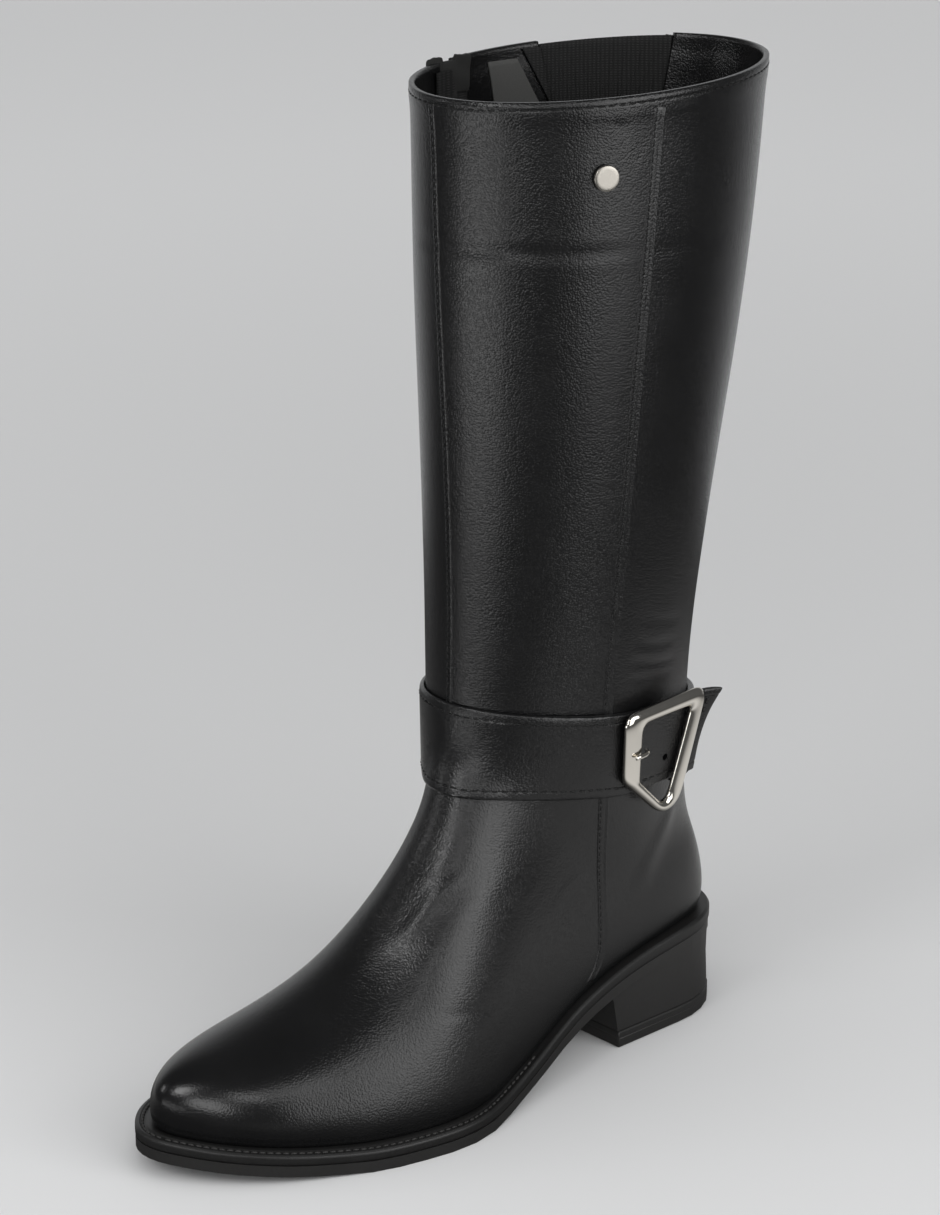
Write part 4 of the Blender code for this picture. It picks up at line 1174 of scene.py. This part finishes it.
soft_lamp("side_box", (1.60, -0.06, 0.66), (0.0, -0.04, 0.25), 0.95, 1.78, 11.0)
soft_lamp("side_card", (1.48, 0.62, 0.72), (0.0, -0.06, 0.1), 0.55, 0.90, 5.0)
soft_lamp("front_box", (1.15, -1.75, 0.66), (0.0, -0.12, 0.1), 0.80, 0.70, 5.5)
soft_lamp("high_card", (1.38, -0.98, 1.22), (0.0, -0.12, 0.1), 0.45, 0.40, 1.9)
soft_lamp("toe_box", (0.20, -1.75, 1.45), (0.0, -0.10, 0.1), 0.70, 0.80, 9.0)
soft_lamp("left_box", (-1.15, -1.25, 0.75), (0.0, -0.10, 0.1), 0.35, 0.40, 1.3)
soft_lamp("low_card", (-0.06, -1.80, -0.18), (0.0, -0.06, 0.25), 1.38, 0.52, 5.6)

# The ceiling lights the floor evenly. Polished surfaces mirror the lamps, not the ceiling or the floor.
# Below them they mirror a disc that glows though it is no lamp
# and is seen only in reflections: a painted reflection of the floor near the boot, as on a table top, with
# painted shadow close to the boot, fading farther off.
REFLECTION_DISC_RADIUS = 0.70


def painted_floor_reflection():
    """A sheet that glows, seen only in reflections: painted shadow close to the boot, a painted reflection
    of bright paper round it, then fading.
    """
    finish, nodes, links, shader = new_finish("painted_floor_reflection")
    place = nodes.new("ShaderNodeTexCoord").outputs["Object"]
    reach = shader_node(nodes, "VectorMath", operation="LENGTH")
    # Painted reflection: glow that fades with distance from the disc's middle
    painted_reflection_falloff = ranged(nodes, links, reach.outputs["Value"], 0.64, 0.07, (0.16, 0.47))
    # Painted shadow: less glow close to the boot's long line
    narrowed = {1: (1.0, 0.50, 0.0), 2: (0.0, 0.070, 0.0)}
    along = shader_node(nodes, "VectorMath", narrowed, operation="MULTIPLY_ADD")
    beside = shader_node(nodes, "VectorMath", operation="LENGTH")
    painted_contact_shadow = ranged(nodes, links, beside.outputs["Value"], 0.10, 1.0, (0.065, 0.20))
    linked(
        links,
        [
            (place, reach.inputs[0]),
            (place, along.inputs[0]),
            (along.outputs["Vector"], beside.inputs[0]),
            (product(nodes, links, painted_reflection_falloff, painted_contact_shadow), shader.inputs["Emission Strength"]),
        ],
    )
    filled(shader, {"Base Color": (0.0, 0.0, 0.0, 1.0), "Specular IOR Level": 0.0})
    filled(shader, {"Emission Color": (1.0, 0.995, 0.985, 1.0)})
    return finish


ceiling = placed("ceiling", bpy.data.lights.new("ceiling", "SUN"))
ceiling.data.energy = 1.68
ceiling.data.angle = math.radians(120.0)
aimed(ceiling, (0.0, 0.0, 3.0), Vector((-0.20, 0.20, -0.96)))
ceiling.visible_glossy = False
floor.visible_glossy = False
floor.visible_shadow = False
# A disc that glows though it is no lamp, seen only in reflections: painted reflection of the floor, with
# painted shadow near the boot
near = bmesh.new()
bmesh.ops.create_circle(near, cap_ends=True, segments=48, radius=REFLECTION_DISC_RADIUS)
bmesh.ops.translate(near, verts=near.verts, vec=(0.0, -0.08, -0.0004))
glowing_reflection_disc = laid_down(near, "glowing_reflection_disc", painted_floor_reflection())
glowing_reflection_disc.visible_camera = False
glowing_reflection_disc.visible_diffuse = False
glowing_reflection_disc.visible_shadow = False

# The air beyond is dark in front and bright behind for reflections, and plain pale where it is seen.
SURROUND_BRIGHT = Vector((-math.sin(AZIMUTH), math.cos(AZIMUTH), -0.25)).normalized()
bpy.context.scene.view_settings.view_transform = "Standard"
surround = bpy.data.worlds.new("studio_air")
bpy.context.scene.world = surround
surround.use_nodes = True
air_nodes, air_links = surround.node_tree.nodes, surround.node_tree.links
direction = air_nodes.new("ShaderNodeTexCoord")
facing = shader_node(air_nodes, "VectorMath", {1: SURROUND_BRIGHT}, operation="DOT_PRODUCT")
glow = ranged(air_nodes, air_links, facing.outputs["Value"], 0.085, 0.60, (0.42, 0.95))
sight = air_nodes.new("ShaderNodeLightPath")
backdrop = shader_node(air_nodes, "Mix", {3: 0.52})
linked(
    air_links,
    [
        (direction.outputs["Generated"], facing.inputs[0]),
        (sight.outputs["Is Camera Ray"], backdrop.inputs[0]),
        (glow, backdrop.inputs[2]),
        (backdrop.outputs[0], air_nodes["Background"].inputs["Strength"]),
    ],
)
filled(air_nodes["Background"], {"Color": (0.98, 0.99, 1.0, 1.0)})
